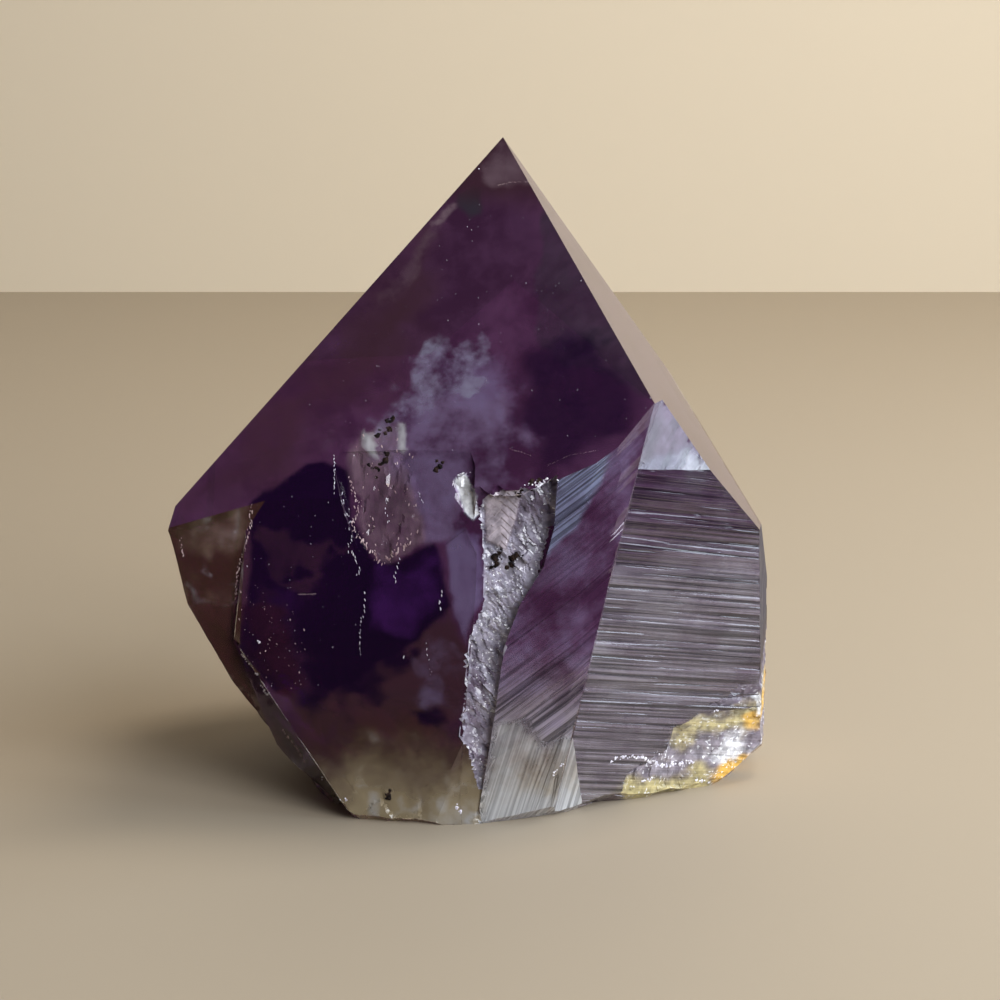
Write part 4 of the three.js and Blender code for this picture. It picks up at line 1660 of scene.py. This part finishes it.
def grain_group() -> bpy.types.GeometryNodeTree:
    """Builds the node tree that lays one broken grain on every point.

    Returns:
        A tree with the inputs Points, Stretch, Break, Seed and Material.
    """
    inputs = {
        "Points": "Geometry",
        "Stretch": "Vector",
        "Break": "Float",
        "Seed": "Int",
        "Material": "Material",
    }
    group = new_group("lay_grains", "GeometryNodeTree", inputs, {"Grains": "Geometry"})
    tree = Tree(group)
    given = tree.add("NodeGroupInput").outputs

    def held(name: str, kind: str) -> bpy.types.NodeSocket:
        """Gives a value that the points bring with them."""
        return tree.add("GeometryNodeInputNamedAttribute", {"Name": name}, data_type=kind).outputs[0]

    grain = tree.add("GeometryNodeMeshIcoSphere", {"Radius": 1.0, "Subdivisions": 2})
    facing = tree.add(
        "FunctionNodeAlignRotationToVector", {"Vector": held("facing", "FLOAT_VECTOR")}, axis="Z"
    )
    spin = tree.add("ShaderNodeCombineXYZ", {"Z": held("spin", "FLOAT")})
    turn = tree.add("FunctionNodeEulerToRotation", {0: spin.outputs[0]})
    rotation = tree.add(
        "FunctionNodeRotateRotation",
        {"Rotation": facing.outputs[0], "Rotate By": turn.outputs[0]},
        rotation_space="LOCAL",
    )
    laid = tree.add(
        "GeometryNodeInstanceOnPoints",
        {
            "Points": given["Points"],
            "Instance": grain.outputs["Mesh"],
            "Rotation": rotation.outputs[0],
            "Scale": tree.scaled(given["Stretch"], held("size", "FLOAT")),
        },
    )
    real = tree.add("GeometryNodeRealizeInstances", {"Geometry": laid.outputs[0]})
    spot = tree.add("GeometryNodeInputPosition").outputs[0]
    rough = tree.add(
        "ShaderNodeTexNoise",
        {"Vector": spot, "W": given["Seed"], "Scale": 3500.0, "Detail": 1.0},
        noise_dimensions="4D",
    )
    shift = tree.add(
        "ShaderNodeVectorMath", {0: rough.outputs["Color"], 1: (0.5, 0.5, 0.5)}, operation="SUBTRACT"
    )
    moved = tree.add(
        "GeometryNodeSetPosition",
        {"Geometry": real.outputs[0], "Offset": tree.scaled(shift.outputs[0], given["Break"])},
    )
    dressed = tree.add(
        "GeometryNodeSetMaterial", {"Geometry": moved.outputs[0], "Material": given["Material"]}
    )
    tree.add("NodeGroupOutput", {"Grains": dressed.outputs[0]})
    return group


# Room that a grain keeps from the solid's box, in radii, and how much more often small ones come
CLEARANCE = 1.25
MOSTLY_SMALL = 2.5


@dataclass(frozen=True)
class FleckLine:
    """A row of flecks along x and z corners on the front, with their spacing and sizes in millimetres."""

    corners: tuple[Point2, ...]
    step: float = 0.45
    size: Point2 = (0.05, 0.14)
    spread: float = 0.14


@dataclass
class Grains:
    """Many small bits of one mineral on the stone's skin, as one piece."""

    name: str
    finish: GrainFinish
    stretch: Point3
    crumble: float
    sink: float
    seed: int
    swing: float = math.pi
    places: list[tuple[Vector, Vector, float]] = field(default_factory=list)

    def scatter(self, stone: Stone, patch: Outline, count: int, size: Point2) -> None:
        """Spreads grains over a patch of the front.

        Args:
            stone: The stone that carries them.
            patch: Where they lie.
            count: How many are tried.
            size: Smallest and largest radius in millimetres.
        """
        rng = np.random.default_rng((self.seed, len(self.places), count))
        ring = np.array(patch.corners)
        for x, z, luck, fate in rng.uniform(0, 1, (count, 4)):
            x, z = ring.min(axis=0) + np.array([x, z]) * np.ptp(ring, axis=0)
            if patch.cover(np.array([x]), np.array([z]))[0] < fate:
                continue
            self.put(stone.touch(x, z), size[0] + (size[1] - size[0]) * luck**MOSTLY_SMALL)

    def trail(self, stone: Stone, row: FleckLine) -> None:
        """Lays grains along a row on the front."""
        rng = np.random.default_rng((self.seed, len(self.places), 5))
        for start, end in zip(row.corners, row.corners[1:]):
            count = max(1, round(math.dist(start, end) / row.step))
            for share in (np.arange(count) + rng.uniform(0, 1, count)) / count:
                x, z = np.array(start) + (np.array(end) - start) * share + rng.normal(0, row.spread, 2)
                self.put(stone.touch(x, z), rng.uniform(*row.size))

    def put(self, hit: tuple[Vector, Vector] | None, size: float) -> None:
        """Keeps one grain, pressed a little into the skin and inside the solid's box."""
        if hit is None:
            return
        place, normal = hit
        centre = place - normal * size * self.sink
        low, high = CAD_BOX
        room = size * max(self.stretch) * CLEARANCE
        for axis in range(3):
            bottom, top = low[axis] / MM + room, high[axis] / MM - room
            centre[axis] = min(max(centre[axis], bottom), top)
        self.places.append((centre, normal, size))

    def build(self, group: bpy.types.GeometryNodeTree) -> bpy.types.Object:
        """Lets the nodes lay the grains and keeps the mesh that they make."""
        rng = np.random.default_rng(self.seed)
        seeds = bpy.data.meshes.new(self.name + "_points")
        seeds.from_pydata([tuple(place * MM) for place, _, _ in self.places], [], [])
        keep(seeds, "facing", "POINT", [tuple(normal) for _, normal, _ in self.places], vector=True)
        keep(seeds, "size", "POINT", [radius * MM for _, _, radius in self.places])
        keep(seeds, "spin", "POINT", rng.uniform(-self.swing, self.swing, len(self.places)))
        holder = link(self.name + "_holder", seeds)
        nodes = holder.modifiers.new("lay_grains", "NODES")
        nodes.node_group = group
        chosen = {
            "Stretch": self.stretch,
            "Break": self.crumble * MM,
            "Seed": self.seed,
            "Material": self.finish.build(),
        }
        for item in group.interface.items_tree:
            if item.in_out == "INPUT" and item.name in chosen:
                nodes[item.identifier] = chosen[item.name]
        depsgraph = bpy.context.evaluated_depsgraph_get()
        mesh = bpy.data.meshes.new_from_object(holder.evaluated_get(depsgraph))
        bpy.data.objects.remove(holder)
        mesh.name = self.name
        return settle(link(self.name, mesh))


# Length of the line that a cluster of specks is scattered round, in reaches
DIAGONAL = 2.8

# Iron specks: x and z of each cluster, how many specks it has and how far it reaches, in millimetres
IRON_SPOTS: tuple[tuple[float, float, int, float], ...] = (
    (-11.2, 46.5, 9, 0.9),
    (-12.1, 42.4, 9, 0.75),
    (-5.1, 42.5, 5, 0.4),
    (5.2, 40.9, 8, 0.9),
    (1.6, 32.3, 7, 0.9),
    (3.6, 32.0, 7, 0.8),
    (-11.0, 3.5, 2, 0.3),
)


WHITE_LINES = (
    FleckLine(((-17.3, 43.4), (-17.1, 39.5)), 0.22, (0.07, 0.11), 0.03),
    FleckLine(((-16.4, 39.0), (-15.7, 36.9), (-15.2, 34.5), (-15.6, 32.4))),
    FleckLine(((-15.1, 32.8), (-14.2, 30.5), (-14.6, 29.8)), 0.3, (0.07, 0.15), 0.06),
    FleckLine(((-11.1, 39.1), (-11.3, 37.3), (-10.8, 35.9)), 0.4, (0.05, 0.11), 0.07),
    FleckLine(((-7.5, 39.7), (-6.8, 38.3)), 0.25, (0.06, 0.1), 0.05),
    FleckLine(((-9.5, 32.2), (-10.1, 30.3), (-10.1, 28.9)), 0.4, (0.05, 0.12), 0.07),
    FleckLine(((-4.7, 28.4), (-5.1, 26.7), (-4.7, 26.0)), 0.45, (0.06, 0.14), 0.06),
    FleckLine(((-13.6, 28.2), (-13.8, 25.5), (-14.2, 24.5), (-14.3, 20.3)), 0.38, (0.05, 0.11), 0.08),
    FleckLine(((-6.5, 22.1), (-6.0, 17.9)), 0.6, (0.04, 0.1), 0.2),
    FleckLine(((-9.2, 20.4), (-9.2, 20.2)), 0.3, (0.12, 0.14), 0.02),
)
# Bright chips along ridges and the crust's foot, partly pale broken quartz and partly painted sparkle
CHIP_LINES = (
    FleckLine(((-28.5, 19.4), (-26.6, 17.2)), 0.16, (0.10, 0.26), 0.10),
    FleckLine(((-26.3, 15.4), (-25.5, 14.0)), 0.18, (0.08, 0.17), 0.06),
    FleckLine(((-26.4, 21.6), (-26.2, 21.2)), 0.15, (0.18, 0.26), 0.10),
    FleckLine(((-19.7, 3.2), (-16.0, 2.6)), 0.3, (0.08, 0.22), 0.15),
    FleckLine(((5.0, 41.0), (6.6, 41.6), (8.3, 42.0)), 0.16, (0.10, 0.26), 0.16),
    FleckLine(((-3.2, 41.6), (-1.6, 41.9)), 0.2, (0.08, 0.18), 0.15),
    FleckLine(((15.2, 6.1), (16.9, 6.2), (18.9, 5.8), (19.9, 4.9)), 0.16, (0.09, 0.24), 0.14),
    FleckLine(((19.9, 4.9), (21.1, 4.2), (23.0, 3.9), (25.5, 3.8)), 0.14, (0.10, 0.28), 0.16),
    FleckLine(((21.4, 5.8), (21.9, 4.6)), 0.2, (0.12, 0.24), 0.12),
    FleckLine(((19.0, 2.5), (20.7, 2.6)), 0.2, (0.08, 0.24), 0.12),
    FleckLine(((25.7, 1.2), (28.0, 0.7)), 0.3, (0.08, 0.26), 0.16),
    FleckLine(((27.9, 10.0), (28.6, 10.2)), 0.15, (0.08, 0.16), 0.06),
    FleckLine(((8.2, 5.6), (9.4, 7.4)), 0.3, (0.08, 0.20), 0.12),
    FleckLine(((-3.2, 2.6), (-2.6, 1.4)), 0.2, (0.12, 0.24), 0.12),
    FleckLine(((-0.6, 75.0), (-0.3, 74.4)), 0.2, (0.08, 0.13), 0.05),
)
ROSE_LINES = (
    FleckLine(
        ((-15.3, 40.9), (-15.2, 39.4), (-14.4, 37.9), (-14.8, 36.4), (-15.1, 35.7), (-14.2, 34.0)), 0.2
    ),
    FleckLine(
        ((-14.2, 34.0), (-13.0, 33.0), (-11.6, 31.5), (-10.1, 32.8), (-8.4, 33.8)),
        0.2, (0.06, 0.17), 0.16,
    ),
    FleckLine(
        ((-26.9, 38.0), (-26.9, 35.6), (-27.7, 32.8), (-28.6, 29.9), (-29.0, 26.4)),
        0.25, (0.05, 0.14), 0.08,
    ),
    FleckLine(((-21.6, 27.4), (-19.4, 27.5)), 0.16, (0.035, 0.06), 0.02),
    FleckLine(((-24.0, 9.7), (-22.5, 7.6), (-21.3, 5.3)), 0.25, (0.05, 0.11), 0.05),
    FleckLine(((7.5, 43.3), (10.0, 44.4), (13.2, 45.0)), 0.2, (0.022, 0.035), 0.02),
    FleckLine(((3.1, 44.8), (5.5, 44.2)), 0.22, (0.03, 0.05), 0.05),
    FleckLine(((1.6, 73.0), (3.4, 73.4), (5.6, 73.5)), 0.2, (0.03, 0.06), 0.03),
    FleckLine(((-35.2, 33.8), (-35.0, 31.6)), 0.3, (0.06, 0.13), 0.1),
)


def lay_grains(stone: Stone) -> None:
    """Lays the flecks and the iron specks on the stone."""
    group = grain_group()
    flecks = Grains(
        "bright_flecks", FLAKE, stretch=(0.42, 1.6, 0.3), crumble=0.06, sink=0.05, seed=31, swing=0.35
    )
    rose = Grains(
        "rose_flecks", ROSE_FLAKE, stretch=(0.6, 1.7, 0.3), crumble=0.06, sink=0.05, seed=35, swing=0.6
    )
    shards = Grains("bright_chips_and_sparkles", FLAKE, stretch=(1.0, 0.7, 0.45), crumble=0.22, sink=0.2, seed=36)
    for grains, rows in ((flecks, WHITE_LINES), (rose, ROSE_LINES), (shards, CHIP_LINES)):
        for row in rows:
            grains.trail(stone, row)
    flecks.scatter(stone, FLECK_FIELD, 190, (0.025, 0.065))
    flecks.scatter(stone, LEFT_FIELD, 80, (0.025, 0.065))
    rose.scatter(stone, MAROON_EDGE, 120, (0.03, 0.10))
    rose.scatter(stone, WINDOW, 90, (0.04, 0.16))
    for grains in (flecks, rose, shards):
        grains.build(group)

    iron = Grains("iron_specks", IRON, stretch=(1.0, 0.8, 0.4), crumble=0.5, sink=0.2, seed=32)
    for x, z, count, reach in IRON_SPOTS:
        across = ((x - reach, z - reach), (x + reach, z + reach))
        step = DIAGONAL * reach / count
        iron.trail(stone, FleckLine(across, step, size=(0.20, 0.55), spread=0.40 * reach))
    iron.build(group)


# ---------------------------------------------------------------------------------------------
# Floor, light and camera
# ---------------------------------------------------------------------------------------------


@dataclass(frozen=True)
class Lamp:
    """A soft rectangular light, with its place, target and size in metres."""

    name: str
    place: Point3
    target: Point3
    size: Point2
    watts: float
    colour: Colour


WINDOW_LIGHT = Lamp("window", (0.42, -0.03, 0.21), (0.0, -0.02, 0.12), (0.42, 0.34), 2.7, (0.78, 0.88, 1.0))
FRONT_FILL = Lamp("front_fill", (0.34, -0.52, 0.36), (0.0, -0.02, 0.04), (0.4, 0.4), 4.4, (0.92, 0.95, 1.0))
WALL_WASH = Lamp("wall_wash", (0.25, 0.1, 0.6), (0.05, 0.45, 0.1), (0.4, 0.2), 2.2, (1.0, 0.90, 0.76))


@dataclass
class Studio:
    """Pale floor and wall, soft window light from the right and the camera.

    The aim and the distance of the camera are in millimetres, and the sheets of the set in metres. The
    front strip of the floor is an apron that the stone doesn't mirror.
    """

    lamps: tuple[Lamp, ...] = (WINDOW_LIGHT, FRONT_FILL, WALL_WASH)
    aim: Point3 = (2.0, -3.1, 33.85)
    elevation: float = 12.0
    distance: float = 330.0
    lens: float = 95.63
    side: float = 3.0
    front: float = -0.086
    apron: float = -0.045
    wall: float = 0.45

    def plain(self, name: str, colour: Colour, roughness: float) -> bpy.types.Material:
        """Makes the floor's or the wall's matt paint."""
        material = bpy.data.materials.new(name)
        material.use_nodes = True
        shader = material.node_tree.nodes["Principled BSDF"]
        shader.inputs["Base Color"].default_value = (*colour, 1.0)
        shader.inputs["Roughness"].default_value = roughness
        return material

    def sheet(
        self, name: str, near: Point2, far: Point2, material: bpy.types.Material
    ) -> bpy.types.Object:
        """Lays one flat sheet of the set.

        Args:
            name: Its name.
            near: Depth and height of its first edge, in metres.
            far: Depth and height of the opposite edge.
            material: Its paint.

        Returns:
            The sheet.
        """
        mesh = bpy.data.meshes.new(name)
        corners = [(-self.side, *near), (self.side, *near), (self.side, *far), (-self.side, *far)]
        mesh.from_pydata(corners, [], [(0, 1, 2, 3)])
        piece = link(name, mesh)
        mesh.materials.append(material)
        return piece

    def hang(self, lamp: Lamp) -> None:
        """Hangs a soft rectangular light that faces its target."""
        light = bpy.data.lights.new(lamp.name, "AREA")
        light.shape = "RECTANGLE"
        light.size, light.size_y = lamp.size
        light.energy = lamp.watts
        light.color = lamp.colour
        holder = bpy.data.objects.new(lamp.name, light)
        bpy.context.scene.collection.objects.link(holder)
        holder.location = lamp.place
        holder.visible_camera = False
        aim = Vector(lamp.target) - Vector(lamp.place)
        holder.rotation_euler = aim.to_track_quat("-Z", "Y").to_euler()

    def room(self, seen: Colour, given: Colour) -> None:
        """Fills the space beyond the floor and the wall.

        Args:
            seen: Its colour behind the set.
            given: The dim light that it gives.
        """
        world = bpy.data.worlds.new("room")
        bpy.context.scene.world = world
        world.use_nodes = True
        tree = Tree(world.node_tree)
        straight = tree.add("ShaderNodeLightPath").outputs["Is Camera Ray"]
        air = tree.add("ShaderNodeBackground", {"Color": tree.blend(straight, given, seen)})
        tree.add("ShaderNodeOutputWorld", {"Surface": air.outputs[0]})

    def build(self) -> None:
        """Sets up floor, wall, lights, the room round them and camera."""
        floor = self.plain("pale_floor", (0.42, 0.35, 0.26), 0.6)
        wall = self.plain("pale_wall", (0.70, 0.60, 0.45), 0.8)
        self.sheet("floor", (self.apron, 0), (self.side, 0), floor)
        apron = self.sheet("apron", (self.front, 0), (self.apron, 0), floor)
        apron.visible_glossy = False
        self.sheet("wall", (self.wall, 0), (self.wall, self.side), wall)
        for lamp in self.lamps:
            self.hang(lamp)
        self.room(seen=(0.62, 0.60, 0.56), given=(0.045, 0.043, 0.045))
        settings = bpy.context.scene.view_settings
        settings.view_transform = "Standard"

        camera = bpy.data.cameras.new("camera")
        camera.lens = self.lens
        camera.sensor_width = 36.0
        holder = bpy.data.objects.new("camera", camera)
        bpy.context.scene.collection.objects.link(holder)
        lean = math.radians(self.elevation)
        back = Vector((0, -math.cos(lean), math.sin(lean))) * self.distance
        holder.location = (Vector(self.aim) + back) * MM
        holder.rotation_euler = (-back).to_track_quat("-Z", "Y").to_euler()
        bpy.context.scene.camera = holder


# ---------------------------------------------------------------------------------------------
# The whole scene
# ---------------------------------------------------------------------------------------------


def main() -> None:
    """Builds the stone, then the studio."""
    logging.basicConfig(level=logging.INFO, format="%(name)s: %(message)s")
    Studio().build()
    stone = Stone()
    stone.build()
    lay_grains(stone)


if __name__ == "__main__":
    main()
